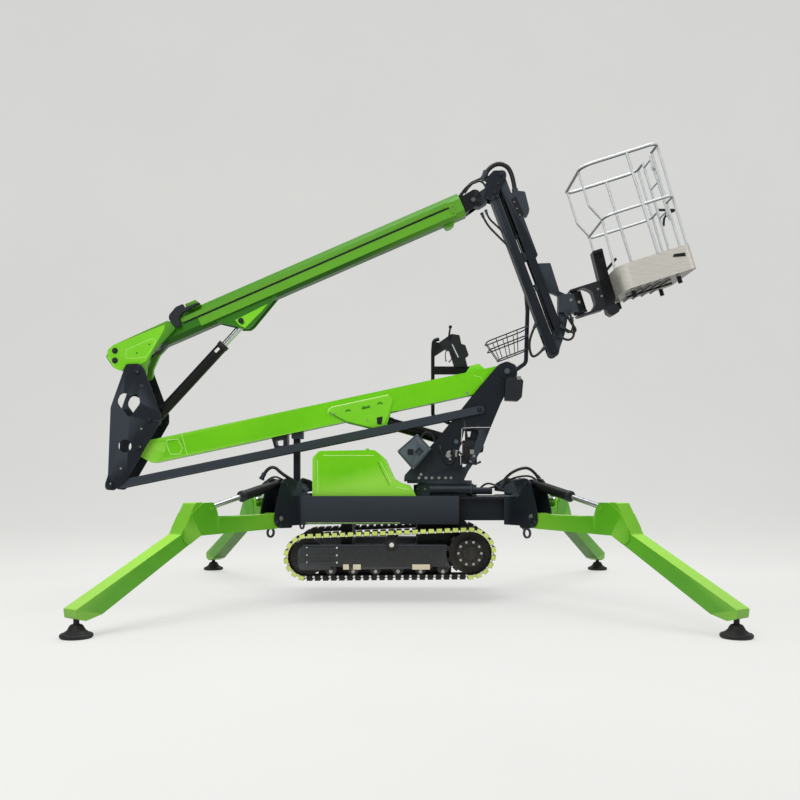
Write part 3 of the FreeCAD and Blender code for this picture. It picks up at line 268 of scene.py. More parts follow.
# Painted highlight: the pale lines where light catches bevels and edges
LIME_HIGHLIGHT = paint("lime_painted_highlight", "cafc80", "bdf272", "dcffa8", 0.36)
GREY = paint("grey_paint", "161d25", "11171e", "49525b", 0.5, 0.03, "303a45", "06080a", 0.25)
MIDGREY = paint("middle_grey", "4a555e", "414b53", "7c878f", 0.45, 0.1, "77838c", "14181c", 0.3)
BLACK = paint("black_paint", "050607", "090a0c", "34383e", 0.45, 0.05, "1c2024", "020202", 0.25)
# Pale white, also used for the painted highlight along the turret plate's edges
WHITE = paint("pale_white", "e6e8e4", "d8dad6", "f4f4f2", 0.5, 0.1)
SAND = paint("sand_window", "e9dcc0", "dccca8", "f2e8d4", 0.6, 0.1)

# Metals: name, colour, other colour, roughness, grain, depth of the grain; the under colour is painted shade
# on faces that look down
CHROME = metal("chrome_rod", "d8dadd", "b9bcc0", 0.12, 30, 0.03)
STEEL = metal("pan_steel", "efece4", "d4d0c5", 0.32, 7, 0.03, stretch=(1, 1, 14), metallic=0.4,
              under="1b1c1c")
RAIL = metal("rail_metal", "eceff0", "d2d8da", 0.32, 16, 0.04, metallic=0.35, under="22262b")
ZINC = metal("zinc_bolt", "c9cbc6", "a2a49c", 0.3, 80, 0.1)

# Rubbers: name, colour, other colour, roughness
TRACK = rubber("track_rubber", "101113", "1b1c1c", 0.72)
PAD = rubber("pad_rubber", "0b0c0d", "151617", 0.6)
HOSE = rubber("hose_rubber", "08090a", "111214", 0.5, 200)
LUGFACE = rubber("lug_face", "e2f07e", "bccb62", 0.6)

# Painted shade: the pan is dark below its floor, whose plane stands across the basket's own up direction
BASKET_UP = (-0.3007, 0.0, 0.9537)
PAN_FLOOR = 2.014
darken_below(STEEL, BASKET_UP, PAN_FLOOR, "101112")

BY_SLOT = {"green_paint": GREEN, "grey_paint": GREY, "black_paint": BLACK, "chrome_rod": CHROME,
           "track_rubber": TRACK, "pan_steel": STEEL, "rail_metal": RAIL, "pad_black": PAD}
# The upper boom and its side channel take the darker copy of the green (painted shade)
BY_NODE = {"upper_boom": GREEN_SHADED, "side_channel": GREEN_SHADED, "basket_yoke": BLACK, "rotator": BLACK,
           "control_box": MIDGREY}
# The outrigger legs take the darker leg green (painted shade)
BY_NODE.update({node: GREEN_LEG_SHADED for node in frame["nodes"] if node.startswith("outrigger_leg")})

slot_of = {s["node"]: s["material_slot"] for s in frame["record"]["subparts"]}
for node_name, node_object in frame["nodes"].items():
    node_object.data.materials.clear()
    node_object.data.materials.append(BY_NODE.get(node_name, BY_SLOT[slot_of[node_name]]))


# Meshes

def finish_mesh(bm, name, material, body, bevel=0.0):
    mesh = bpy.data.meshes.new(name)
    bm.to_mesh(mesh)
    bm.free()
    obj = bpy.data.objects.new(name, mesh)
    bpy.context.scene.collection.objects.link(obj)
    mesh.materials.append(material)
    if bevel > 0:
        mod = obj.modifiers.new("bevel", "BEVEL")
        mod.width = bevel
        mod.segments = 2
        mod.limit_method = "ANGLE"
    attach(obj, body)


def turn_to(axis):
    """Rotation that takes +Z to the given direction."""
    return Vector((0, 0, 1)).rotation_difference(Vector(axis).normalized()).to_matrix().to_4x4()


def add_disc(bm, centre, axis, radius, height, sides, top=None):
    """Short cylinder or cone standing on a point."""
    ring = bmesh.ops.create_cone(bm, cap_ends=True, segments=sides, radius1=radius,
                                 radius2=radius if top is None else top, depth=height)
    move = Matrix.Translation(Vector(centre)) @ turn_to(axis) @ Matrix.Translation((0, 0, height / 2))
    bmesh.ops.transform(bm, matrix=move, verts=ring["verts"])


# Parts of a bolt as shares of its size
WASHER_R, WASHER_H = 1.15, 0.18
HEAD_R, HEAD_TOP_R, HEAD_H = 0.92, 0.84, 0.62


def add_bolt(bm, centre, axis, size):
    """Hexagon head on a washer."""
    add_disc(bm, centre, axis, size * WASHER_R, size * WASHER_H, 16)
    head = Vector(centre) + Vector(axis).normalized() * size * WASHER_H
    add_disc(bm, head, axis, size * HEAD_R, size * HEAD_H, 6, size * HEAD_TOP_R)


def add_box(bm, low, high, turn=Matrix.Identity(4)):
    made = bmesh.ops.create_cube(bm, size=1.0)
    low, high = Vector(low), Vector(high)
    size = high - low
    move = Matrix.Translation((low + high) / 2) @ Matrix.Diagonal((size.x, size.y, size.z, 1))
    bmesh.ops.transform(bm, matrix=turn @ move, verts=made["verts"])


def add_prism(bm, front, back):
    """Closed solid between two outlines with equal counts of corners."""
    front = [bm.verts.new(c) for c in front]
    back = [bm.verts.new(c) for c in back]
    bm.faces.new(front)
    bm.faces.new(list(reversed(back)))
    count = len(front)
    for i in range(count):
        bm.faces.new((front[i], back[i], back[(i + 1) % count], front[(i + 1) % count]))


def bolts(name, body, spots, size, material):
    bm = bmesh.new()
    for centre, axis in spots:
        add_bolt(bm, centre, axis, size)
    finish_mesh(bm, name, material, body)


# Pivot pins: cap and nut on the near and far end, seated on the plate that carries them

PINS = (
    # name, body, x, z, pin radius, finish, nodes that the cap may sit on
    ("boom_foot", "turret", 950, 2075, 34, MIDGREY, ("turret_frame",)),
    ("link_foot", "turret", 695, 1720, 24, GREY, ("turret_frame",)),
    ("lift_foot", "turret", 482, 1425, 28, MIDGREY, ("turret_frame",)),
    ("boom_tip", "riser", -2430, 1378, 32, GREY, ("riser",)),
    ("upper_pivot", "riser", -2451, 2072, 33, GREY, ("riser",)),
    ("luff_foot", "riser", -2336, 1627, 28, GREY, ("riser",)),
    ("link_tip", "riser", -2685, 1023, 25, GREY, ("riser",)),
    ("head", "boom_head", 642, 3666, 28, MIDGREY, ("boom_head", "inner_boom")),
    ("jib_top", "boom_head", 840, 3740, 26, GREY, ("boom_head", "jib_beam")),
    ("jib_link_top", "jib_link", 895, 3904, 22, GREY, ("jib_link", "boom_head")),
    ("jib_end", "jib_head", 1396, 2268, 24, GREY, ("jib_head", "jib_beam")),
    ("lift_rod", "lower_boom", -225, 1627, 24, GREY, ("lower_boom",)),
)
CAP_SHARE = 0.8
CAP_HEIGHT = 0.006
CAP_CHAMFER = 0.002
NUT_SHARE = 1 / 2.4
NUT_HEIGHT = 0.004
PIN_SUNK = 0.0005


def pin_caps(name, body, x, z, r, material, nodes):
    bm = bmesh.new()
    for side in (-1, 1):
        hits = [tree_of(n).ray_cast(in_frame(x, side * 2000, z), Vector((0, -side, 0))) for n in nodes]
        faces = [abs(h[0].y) for h in hits if h[0] is not None]
        if not faces:
            continue
        face = in_frame(x, 0, z) + Vector((0, side * (max(faces) - PIN_SUNK), 0))
        r_cap = CAP_SHARE * r * MM
        add_disc(bm, face, (0, side, 0), r_cap, CAP_HEIGHT, 28, r_cap - CAP_CHAMFER)
        nut = face + Vector((0, side * (CAP_HEIGHT - 2 * PIN_SUNK), 0))
        add_disc(bm, nut, (0, side, 0), NUT_SHARE * r * MM, NUT_HEIGHT, 6)
    finish_mesh(bm, "pin_cap_" + name, material, body, bevel=0.0008)


for row in PINS:
    pin_caps(*row)


# Bodies whose two sides are alike carry their plates, bolts and lines on the far side too

ALIKE = ("lower_boom", "riser", "upper_boom")


# Bolt heads and small round fittings, at the places where the photograph shows them

SLEW_BOLTS = tuple((418 + 6.8 * i, 489) for i in range(9))
BOLT_SUNK = 0.001
BOLT_GROUPS = (
    # name, body, size in mm, finish, nodes that carry them, image positions
    ("turret_base", "turret", 12, ZINC, ("turret_frame",),
     ((419, 478), (426, 478), (432, 478), (439, 478), (445.6, 478), (451, 478))),
    ("turret_window", "turret", 11, ZINC, ("turret_frame",),
     ((456.5, 441.6), (421, 474.4), (474, 456), (470, 462), (450, 459))),
    ("riser_bolts", "riser", 9, ZINC, ("riser",),
     ((137.6, 371.8), (149.3, 419.4), (141.4, 428.8), (140.4, 446.8), (120.8, 468.5), (110.6, 483.9))),
    ("riser_washers", "riser", 17, GREY, ("riser",), ((141.6, 386),)),
    ("cheek_pins", "upper_boom", 24, BLACK, ("upper_boom",), ((115, 350.8), (115, 360.5))),
    ("cheek_small", "upper_boom", 8, BLACK, ("upper_boom",), ((149.3, 344.4), (137, 353))),
    ("luff_bracket_pin", "upper_boom", 22, BLACK, ("upper_boom",), ((240.8, 320.5),)),
    ("bracket_pins", "base", 18, ZINC, ("chassis_frame",), ((281, 518.4), (531, 516.6))),
    ("boom_foot_bolts", "lower_boom", 11, ZINC, ("lower_boom",),
     ((467, 393), (334.5, 413.8), (367.6, 420.5))),
    ("jib_box_bolts", "jib_link", 9, ZINC, ("jib_box", "jib_link"),
     ((514.2, 202), (517, 208.5), (519.8, 215))),
    ("yoke_bolts", "basket", 10, ZINC, ("basket_yoke",), ((598, 289), (601.7, 296))),
    ("rotator_knobs", "jib_head", 13, ZINC, ("rotator", "jib_head"), ((571, 300), (579, 302))),
    ("slew_bolts", "base", 9, ZINC, ("slew_ring",), SLEW_BOLTS),
)


def seen_bolts(name, body, size, material, nodes, spots):
    places = []
    for px, py in spots:
        point, normal = seen(px, py, nodes)
        foot = point - normal * BOLT_SUNK
        places.append((foot, normal))
        if body in ALIKE:
            places.append((mirrored(foot), mirrored(normal)))
    bolts("bolts_" + name, body, places, size * MM, material)


for row in BOLT_GROUPS:
    seen_bolts(*row)


# Crawler tracks. A wheel is x, z and the radius over the lugs, in metres from the chassis middle

IDLER = (-0.843, 0.403, 0.204)
SPROCKET = (0.574, 0.438, 0.226)
LUG_COUNT = 58
LUG_HEIGHT = 0.018
LUG_FACE = ((-0.0235, -0.002, -0.019), (0.0235, 0.002, 0.0165))
TRACK_FACE = 0.600
BELT_FACE = 0.5875
FRAME_FACE = 0.5895
ROLLER_FACE = 0.5595
DRIVE_FACE = 0.5845
DOT_INWARD = 0.014
DOT_ONWARD = 0.034
BELT_DOT = 0.009
ROLLER_BOLT = 0.014
DRIVE_BOLT = 0.010
RIVET = 0.0075
CARRIER_BOLT = 0.018
CARRIER_R, CARRIER_TOP_R, CARRIER_HEIGHT = 0.052, 0.048, 0.016
CARRIER_FACE, CARRIER_BOLT_FACE = 0.585, 0.6005

# Places on the track frame, in millimetres from the chassis middle
ROLLER_X = (-640, -444, -248, -52, 144, 340)
ROLLER_Z = 278
DRIVE_BOLTS = 10
DRIVE_BOLT_R = 100
CARRIER = (-107, 512)
RIB_ENDS_X = (-845, -585)
RIBS_Z = (486, 420, 358)
GUARD_X, GUARD_Z = (-760, 420), (215, 360)
GUARD_Y, GUARD_HALF = 428, 5
WINDOWS_X = ((-530, -480), (-444, -376), (72, 226))
WINDOWS_Z = (296, 342)
WINDOW_HALF = 3


def on_arc(wheel, r, a):
    return wheel[0] + r * math.cos(a), wheel[1] + r * math.sin(a)


def on_run(wheel, r, a, run):
    x, z = on_arc(wheel, r, a)
    return x + math.sin(a) * run, z - math.cos(a) * run


def belt_stations():
    """Place and outward angle of each lug, and whether it lies on the lower run."""
    span = math.hypot(SPROCKET[0] - IDLER[0], SPROCKET[1] - IDLER[1])
    lean = math.atan2(SPROCKET[1] - IDLER[1], SPROCKET[0] - IDLER[0])
    spread = math.acos((IDLER[2] - SPROCKET[2]) / span)
    r0, r1 = IDLER[2] - LUG_HEIGHT, SPROCKET[2] - LUG_HEIGHT
    straight = math.sqrt(span ** 2 - (r1 - r0) ** 2)
    arc1, arc0 = 2 * spread * r1, (2 * math.pi - 2 * spread) * r0
    total = 2 * straight + arc1 + arc0
    stations = []
    for i in range(LUG_COUNT):
        d = (i + 0.5) * total / LUG_COUNT
        lower = straight + arc1 <= d < 2 * straight + arc1
        if d < straight:
            a = lean + spread
            place = on_run(IDLER, r0, a, d)
        elif d < straight + arc1:
            a = lean + spread - (d - straight) / r1
            place = on_arc(SPROCKET, r1, a)
        elif lower:
            a = lean - spread
            place = on_run(SPROCKET, r1, a, d - straight - arc1)
        else:
            a = lean - spread - (d - 2 * straight - arc1) / r0
            place = on_arc(IDLER, r0, a)
        stations.append((place, a, lower))
    return stations


def belt_faces(side, which):
    """Painted outer ends of the lugs, apart from the lower run, and a pale dot between lugs."""
    bm = bmesh.new()
    dots = []
    for (x, z), a, lower in belt_stations():
        dot = Vector((x + SHIFT - math.cos(a) * DOT_INWARD, side * BELT_FACE, z - math.sin(a) * DOT_INWARD))
        dots.append((dot + Vector((math.sin(a), 0, -math.cos(a))) * DOT_ONWARD, (0, side, 0)))
        if not lower:
            turn = Matrix.Rotation(math.pi / 2 - a, 4, "Y")
            add_box(bm, *LUG_FACE, Matrix.Translation((x + SHIFT, side * TRACK_FACE, z)) @ turn)
    finish_mesh(bm, "lug_faces_" + which, LUGFACE, "base", bevel=0.003)
    bolts("belt_dots_" + which, "base", dots, BELT_DOT, WHITE)


def track_side(side, which):
    """Bolts, rib ends, carrier roller and lower guard of one track frame."""
    def spot(x, z, depth):
        return in_frame(x, 0, z) + Vector((0, side * depth, 0)), (0, side, 0)

    rollers = [spot(x, ROLLER_Z, ROLLER_FACE) for x in ROLLER_X]
    bolts("roller_bolts_" + which, "base", rollers, ROLLER_BOLT, ZINC)
    drive = []
    for i in range(DRIVE_BOLTS):
        a = 2 * math.pi * i / DRIVE_BOLTS
        x, z = on_arc((SPROCKET[0] / MM, SPROCKET[1] / MM), DRIVE_BOLT_R, a)
        drive.append(spot(x, z, DRIVE_FACE))
    bolts("drive_bolts_" + which, "base", drive, DRIVE_BOLT, ZINC)
    rivets = [spot(x, z, FRAME_FACE) for x in RIB_ENDS_X for z in RIBS_Z]
    bolts("frame_rivets_" + which, "base", rivets, RIVET, WHITE)
    bm = bmesh.new()
    add_disc(bm, *spot(*CARRIER, CARRIER_FACE), CARRIER_R, CARRIER_HEIGHT, 32, CARRIER_TOP_R)
    finish_mesh(bm, "carrier_cover_" + which, BLACK, "base", bevel=0.002)
    bolts("carrier_bolt_" + which, "base", [spot(*CARRIER, CARRIER_BOLT_FACE)], CARRIER_BOLT, WHITE)
    bm = bmesh.new()
    add_box(bm, in_frame(GUARD_X[0], side * GUARD_Y - GUARD_HALF, GUARD_Z[0]),
            in_frame(GUARD_X[1], side * GUARD_Y + GUARD_HALF, GUARD_Z[1]))
    finish_mesh(bm, "roller_guard_" + which, BLACK, "base", bevel=0.002)
    bm = bmesh.new()
    face = side * FRAME_FACE / MM
    for x0, x1 in WINDOWS_X:
        add_box(bm, in_frame(x0, face - WINDOW_HALF, WINDOWS_Z[0]),
                in_frame(x1, face + WINDOW_HALF, WINDOWS_Z[1]))
    finish_mesh(bm, "guard_windows_" + which, SAND, "base", bevel=0.006)


for side, which in ((-1, "near"), (1, "far")):
    belt_faces(side, which)
    track_side(side, which)


# Hydraulic hoses, each with a crimped sleeve at both ends

def route_curve(name, points, radius, material):
    data = bpy.data.curves.new(name, "CURVE")
    data.dimensions = "3D"
    data.bevel_depth = radius
    data.bevel_resolution = 3
    data.resolution_u = 8
    data.use_fill_caps = True
    spline = data.splines.new("NURBS")
    spline.points.add(len(points) - 1)
    for slot, point in zip(spline.points, points):
        slot.co = (*point, 1.0)
    spline.order_u = 3
    spline.use_endpoint_u = True
    obj = bpy.data.objects.new(name, data)
    bpy.context.scene.collection.objects.link(obj)
    data.materials.append(material)
    return obj


HOSES = (
    # name, body, diameter in mm, route as image position and depth in mm
    ("rotator_loop_1", "jib_head", 22,
     ((566, 313, -70), (570, 322, -70), (577, 330, -70), (572, 334, -70), (561, 326, -70))),
    ("rotator_loop_2", "jib_head", 22,
     ((569, 311, -60), (574, 326, -60), (574, 338, -60), (566, 341, -60), (560, 336, -60))),
    ("jib_loop", "jib_beam", 24,
     ((536, 324, -40), (530, 336, -40), (529, 350, -40), (534, 360, -40), (545, 347, -40))),
    ("turret_loop_1", "turret", 26,
     ((420, 446, -90), (420, 437, -90), (427, 431, -90), (435, 437, -90), (436, 447, -90))),
    ("turret_loop_2", "turret", 18,
     ((440, 446, -120), (441, 455, -125), (448, 466, -125), (455, 460, -125), (454, 450, -120))),
    ("valve_hose_1", "turret", 15,
     ((459, 452, -122), (466, 458, -126), (472, 466, -126), (480, 462, -122))),
    ("slew_hose_1", "base", 18,
     ((478, 491, -240), (484, 483, -280), (494, 484, -330), (504, 492, -360), (516, 491, -380))),
    ("slew_hose_2", "base", 18,
     ((482, 492, -220), (490, 487, -280), (500, 487, -330), (508, 494, -350), (520, 493, -370))),
    ("console_ring", "turret", 9,
     ((446, 361, 372), (444, 352, 366), (451, 349, 366), (454, 357, 366), (449, 362, 372))),
    ("rotator_loop_3", "jib_head", 18,
     ((562, 318, -78), (563, 326, -78), (568, 334, -78), (574, 328, -78), (572, 318, -78))),
    ("jib_run_1", "jib_beam", 30,
     ((536, 286, -14), (541, 300, -14), (548, 320, -14), (555, 338, -14))),
    ("jib_run_2", "jib_beam", 30,
     ((536, 286, 24), (541, 300, 24), (548, 320, 24), (555, 338, 24))),
    ("leg_loop_left_1", "base", 30,
     ((262, 478, -500), (266, 470, -500), (274, 466, -500), (282, 474, -500), (296, 482, -480),
      (306, 490, -470))),
    ("leg_loop_left_2", "base", 18,
     ((264, 484, -470), (272, 475, -470), (284, 480, -470), (298, 488, -460))),
    ("leg_loop_right_1", "base", 26,
     ((502, 484, -430), (506, 476, -450), (520, 468, -480), (532, 468, -500), (540, 480, -500))),
    ("leg_loop_right_2", "base", 18,
     ((500, 488, -400), (508, 480, -430), (520, 476, -460), (534, 476, -490), (542, 486, -500))),
    ("boom_end_hose", "upper_boom", 22,
     ((166, 345, -101), (160, 352, -104), (150, 358, -104), (146, 366, -101))),
)


# Sleeve and nut of a hose as shares of its radius: distance back from its end, radius, length
SLEEVE_BACK, SLEEVE_R, SLEEVE_LENGTH = 3.2, 1.35, 4.0
SWIVEL_BACK, SWIVEL_R, SWIVEL_LENGTH = 0.2, 1.75, 1.2


def sleeve(bm, end, inner, radius):
    """Crimped sleeve and nut at a hose's end, with the hose running on to the inner point."""
    axis = (end - inner).normalized()
    add_disc(bm, end - axis * radius * SLEEVE_BACK, axis, radius * SLEEVE_R, radius * SLEEVE_LENGTH, 14)
    add_disc(bm, end - axis * radius * SWIVEL_BACK, axis, radius * SWIVEL_R, radius * SWIVEL_LENGTH, 6)


sleeves = {}
for name, body, diameter, route in HOSES:
    points = [sighted(px, py, depth) for px, py, depth in route]
    radius = diameter * MM / 2
    hose = route_curve("hose_" + name, points, radius, HOSE)
    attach(hose, body)
    bm = sleeves.setdefault(body, bmesh.new())
    sleeve(bm, points[0], points[1], radius)
    sleeve(bm, points[-1], points[-2], radius)
for body, bm in sleeves.items():
    finish_mesh(bm, "hose_sleeves_" + body, GREY, body)


# Hoses that cross a joint at the boom head: each is one fixed mesh, with its sleeves on the two bodies

BENDING_HOSES = (
    # name, the two bodies, diameter in mm, route as image position and depth in mm
    ("head_pack_1", ("inner_boom", "boom_head"), 18,
     ((460, 196, -52), (465, 187, -52), (474, 183, -52), (482, 180, -52), (486, 187, -52))),
    ("head_pack_2", ("inner_boom", "boom_head"), 18,
     ((462, 194, -26), (468, 184, -26), (477, 180, -26), (485, 177, -26), (489, 185, -26))),
    ("head_pack_3", ("inner_boom", "boom_head"), 18,
     ((465, 192, 10), (473, 182, 10), (481, 178, 10), (488, 175, 10), (493, 182, 10))),
    ("head_arc", ("boom_head", "jib_link"), 42,
     ((484, 178, -20), (487, 169, -20), (500, 162, -20), (513, 171, -20), (515.5, 196, -20))),
    ("head_drop_1", ("boom_head", "jib_beam"), 20,
     ((482, 214, -98), (486, 224, -106), (499, 237, -106), (509, 247, -98))),
    ("head_drop_2", ("boom_head", "jib_beam"), 18,
     ((486, 211, -100), (488, 218, -112), (497, 226, -112), (503, 232, -98))),
)


def bending_hose(name, bodies, diameter, route):
    points = [sighted(px, py, depth) for px, py, depth in route]
    radius = diameter * MM / 2
    curve = route_curve("route_" + name, points, radius, HOSE)
    mesh = bpy.data.meshes.new_from_object(curve.evaluated_get(bpy.context.evaluated_depsgraph_get()))
    bpy.data.objects.remove(curve)
    obj = bpy.data.objects.new("hose_" + name, mesh)
    for poly in mesh.polygons:
        poly.use_smooth = True
    bpy.context.scene.collection.objects.link(obj)
    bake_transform(obj)
    for body, end, inner in ((bodies[0], points[0], points[1]), (bodies[1], points[-1], points[-2])):
        bm = bmesh.new()
        sleeve(bm, end, inner, radius)
        finish_mesh(bm, "sleeve_" + name + "_" + body, GREY, body)


for row in BENDING_HOSES:
    bending_hose(*row)


# Thin raised plates and marks, and dark patches of painted shade in holes and recesses. Each lies at its own
# depth in mm, or on the face of the nodes that are seen at its middle

SLAB_SUNK = 0.5
WINDOW_DEPTH = -50.0
SLABS = (
    # name, body, finish, thickness in mm, nodes or depth, outline in image positions
    ("boom_doubler", "lower_boom", GREEN, 6, ("lower_boom",),
     ((328.2, 411.6), (331.2, 407.6), (388.9, 395.3), (393, 399.4), (384.8, 425.4), (374, 428), (346, 421))),
    # Painted shade: a black patch for the dark hole in the doubler, and patches of the shaded green in its
    # half-round recesses
    ("boom_doubler_hole_1", "lower_boom", BLACK, 7.2, ("lower_boom",),
     ((376.8, 417.5), (382.5, 416.5), (381.5, 424.5), (377.2, 424.0))),
    ("boom_doubler_half_1", "lower_boom", GREEN_SHADED, 7.2, ("lower_boom",),
     ((344.6, 412.6), (346, 409.8), (349, 409), (351.4, 411.2), (350, 411.4), (348.6, 410.6),
      (346.6, 411.4))),
    ("boom_doubler_mark", "lower_boom", GREEN_SHADED, 7.2, ("lower_boom",),
     ((361, 409), (363, 406), (366, 406.6), (369.6, 405), (370.4, 408), (367, 408.4), (364, 409.4))),
    ("boom_doubler_half_2", "lower_boom", GREEN_SHADED, 7.2, ("lower_boom",),
     ((377, 404.6), (378.4, 402), (381.4, 401.6), (383.2, 404.2), (381.4, 404.2), (380, 403.4),
      (378.6, 404.4))),
    ("valve_block", "turret", BLACK, 60, WINDOW_DEPTH,
     ((463, 447), (484, 446), (483, 452), (477, 454), (477, 465), (463, 464))),
    ("valve_plate_1", "turret", ZINC, 66, WINDOW_DEPTH, ((470, 449.6), (474, 449.6), (474, 454), (470, 454))),
    ("valve_plate_2", "turret", ZINC, 5, ("turret_frame",),
     ((445.5, 456), (447, 451.5), (451, 450.5), (450, 454), (452, 456), (448, 458))),
    ("valve_plate_3", "turret", ZINC, 5, ("turret_frame",),
     ((453, 454), (455.5, 450), (458.5, 450), (457, 453.5), (457, 457), (454, 456.4))),
    ("valve_plate_4", "turret", WHITE, 62, WINDOW_DEPTH,
     ((467, 431.5), (471, 431.5), (470, 437), (468, 437))),
    ("valve_hanger", "turret", BLACK, 20, WINDOW_DEPTH,
     ((465, 429), (488, 429), (484, 436), (479, 448), (465, 448))),
    # Painted shade: a black patch for the dark hole in the grey box
    ("grey_box_port", "turret", BLACK, 2, ("turret_frame", "control_box"),
     ((407.5, 449), (413.5, 449), (413.5, 455), (407.5, 455))),
    ("cheek_face", "upper_boom", GREEN, 3, ("upper_boom",),
     ((107.5, 350), (113, 345), (165, 324.5), (164, 330), (146.3, 361), (140.6, 364.5), (127.5, 364.5),
      (121, 371), (114, 368), (107.5, 357.5))),
    ("luff_bracket_face", "upper_boom", GREEN, 3, ("upper_boom",),
     ((235, 320), (268, 303.5), (262, 311), (245, 328), (239, 325))),
    ("hose_box_corner", "turret", ZINC, 3, ("hose_box",),
     ((517, 376), (521, 376), (521, 379.5), (517, 379.5))),
    ("jib_box_plate", "jib_link", BLACK, 4, ("jib_box", "jib_link"),
     ((511, 199), (516, 196), (524, 214), (519, 217))),
    ("pan_handle", "basket", BLACK, 6, ("basket_pan",), ((673, 257), (674, 254), (685, 252.5), (686, 256))),
    ("luff_band", "luff_barrel", WHITE, 2, ("luff_cylinder_barrel", "luff_cylinder_rod"),
     ((214, 351), (218, 347), (220, 349), (216, 353))),
)


def slab(name, body, material, thick, carrier, outline):
    if isinstance(carrier, float):
        face = carrier
    else:
        mid = [sum(p[axis] for p in outline) / len(outline) for axis in (0, 1)]
        face = seen(*mid, carrier)[0].y / MM
    corners = [sighted(px, py, face - thick + SLAB_SUNK) for px, py in outline]
    inward = Vector((0, thick * MM, 0))
    bm = bmesh.new()
    add_prism(bm, corners, [c + inward for c in corners])
    if body in ALIKE:
        twins = [mirrored(c) for c in corners]
        add_prism(bm, twins, [c - inward for c in twins])
    bmesh.ops.recalc_face_normals(bm, faces=bm.faces[:])
    finish_mesh(bm, name, material, body, bevel=0.0015)


for row in SLABS:
    slab(*row)


# Thin lines: pale edges where light catches a bevel (painted highlight), painted shade along seams and under
# the doubler's lower edge, and the two bars at the basket's entry

PLATE_DEPTH = -113.0
RAIL_DEPTH = 250.0
EDGES = (
    # name, body, finish, width in mm, nodes or depth, image positions
    ("cheek_emboss", "upper_boom", LIME_HIGHLIGHT, 7, ("upper_boom",),
     ((126, 350), (151.9, 338.5), (156, 341), (146.3, 357), (136, 358.3), (126, 358.3), (126, 350))),
    ("cheek_rim", "upper_boom", LIME_HIGHLIGHT, 7, ("upper_boom",), ((108.4, 356.5), (114.4, 366.5), (120.4, 369))),
    ("end_panel", "lower_boom", LIME_HIGHLIGHT, 8, ("lower_boom",),
     ((166.9, 440), (178, 439), (182.6, 448.4), (180, 454), (170.6, 454.5), (166.9, 445.6), (166.9, 440))),
    ("end_seam", "lower_boom", LIME_HIGHLIGHT, 6, ("lower_boom",), ((181.9, 434.4), (184.5, 445), (187.5, 455))),
    ("entry_bar", "basket", BLACK, 26, RAIL_DEPTH, ((657, 210), (666, 210), (675, 210))),
    ("entry_bracket", "basket", BLACK, 24, RAIL_DEPTH, ((674, 211), (667, 213), (664, 219), (663.5, 226))),
    ("turret_notch_top", "turret", WHITE, 6, PLATE_DEPTH, ((463, 428), (476, 427.4), (490, 427.4))),
    ("turret_notch_side", "turret", WHITE, 6, PLATE_DEPTH, ((462, 428.5), (461.6, 436), (461.2, 442))),
    ("turret_outline", "turret", WHITE, 6, PLATE_DEPTH, ((460.6, 447), (460.6, 456), (460.8, 465))),
    ("cover_left", "base", LIME_HIGHLIGHT, 7, ("engine_cover",), ((317.6, 493), (317.6, 476), (317.6, 460))),
    ("cover_top", "base", LIME_HIGHLIGHT, 7, ("engine_cover",), ((323, 455.6), (348, 455.6), (374, 455.6))),
    ("cover_slope", "base", LIME_HIGHLIGHT, 6, ("engine_cover",), ((380.2, 461), (386, 472), (391.5, 482.4))),
    ("cover_foot", "base", LIME_HIGHLIGHT, 6, ("engine_cover",), ((396, 487), (403, 488.6), (409.5, 490))),
    # Painted shade along the seam on the cover's slope
    ("cover_seam_slope", "base", GREEN_SHADED, 6, ("engine_cover",),
     ((377.5, 462), (383.5, 474), (389.5, 485.4))),
    # Painted shade under the doubler's lower edge
    ("doubler_foot", "lower_boom", GREEN_SHADED, 14, ("lower_boom",),
     ((329, 412.4), (346, 421.6), (374, 428.2))),
    ("doubler_left", "lower_boom", LIME_HIGHLIGHT, 14, ("lower_boom",), ((331.2, 407.6), (329.5, 409), (328.2, 411.6))),
    ("doubler_edge", "lower_boom", LIME_HIGHLIGHT, 14, ("lower_boom",),
     ((331.2, 407.4), (360, 401.2), (388.6, 395.1))),
    ("beam_edge_near", "base", LIME_HIGHLIGHT, 5, ("chassis_frame",), ((306, 523), (400, 523))),
    ("boss_arc", "lower_boom", LIME_HIGHLIGHT, 4, ("lower_boom",), ((474, 375.5), (480, 377), (484, 382), (485, 390))),
)


def thin_line(name, points, width, material):
    line = route_curve(name, points, width * MM / 2, material)
    line.data.splines[0].order_u = 2
    line.data.bevel_resolution = 1
    return line


def edge_line(name, body, material, width, carrier, route):
    if isinstance(carrier, float):
        points = [sighted(px, py, carrier) for px, py in route]
    else:
        points = [seen(px, py, carrier)[0] for px, py in route]
    line = thin_line("edge_" + name, points, width, material)
    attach(line, body)
    if body in ALIKE:
        twin = thin_line("edge_" + name + "_far", [mirrored(v) for v in points], width, material)
        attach(twin, body)


for row in EDGES:
    edge_line(*row)


# Upper boom: painted light on its flat sides, a lit band (painted highlight) between a black strip of painted
# shadow in the groove and the dark lower chamfer (painted shade), and a pale painted highlight line above the
# groove

BOOM_TURN = math.radians(23.5)
BOOM_PIVOT = (-2451, 2072)
BOOM_HALF = 95
BAND_SUNK = 0.5
BOOM_BANDS = (
    # name, finish, start and end along the boom, low and high across it, thickness, all in mm
    # Painted light: the lit band is a painted highlight, the black groove strip a painted shadow, the pale
    # line a painted highlight
    ("boom_bright_face", GREEN_LIT_BAND, 700, 3270, 163, 240, 1.6),
    ("boom_groove", BLACK, 560, 3270, 241, 256, 1.8),
    ("boom_pale_line", LIME_HIGHLIGHT, 560, 3270, 258, 265, 2.2),
)


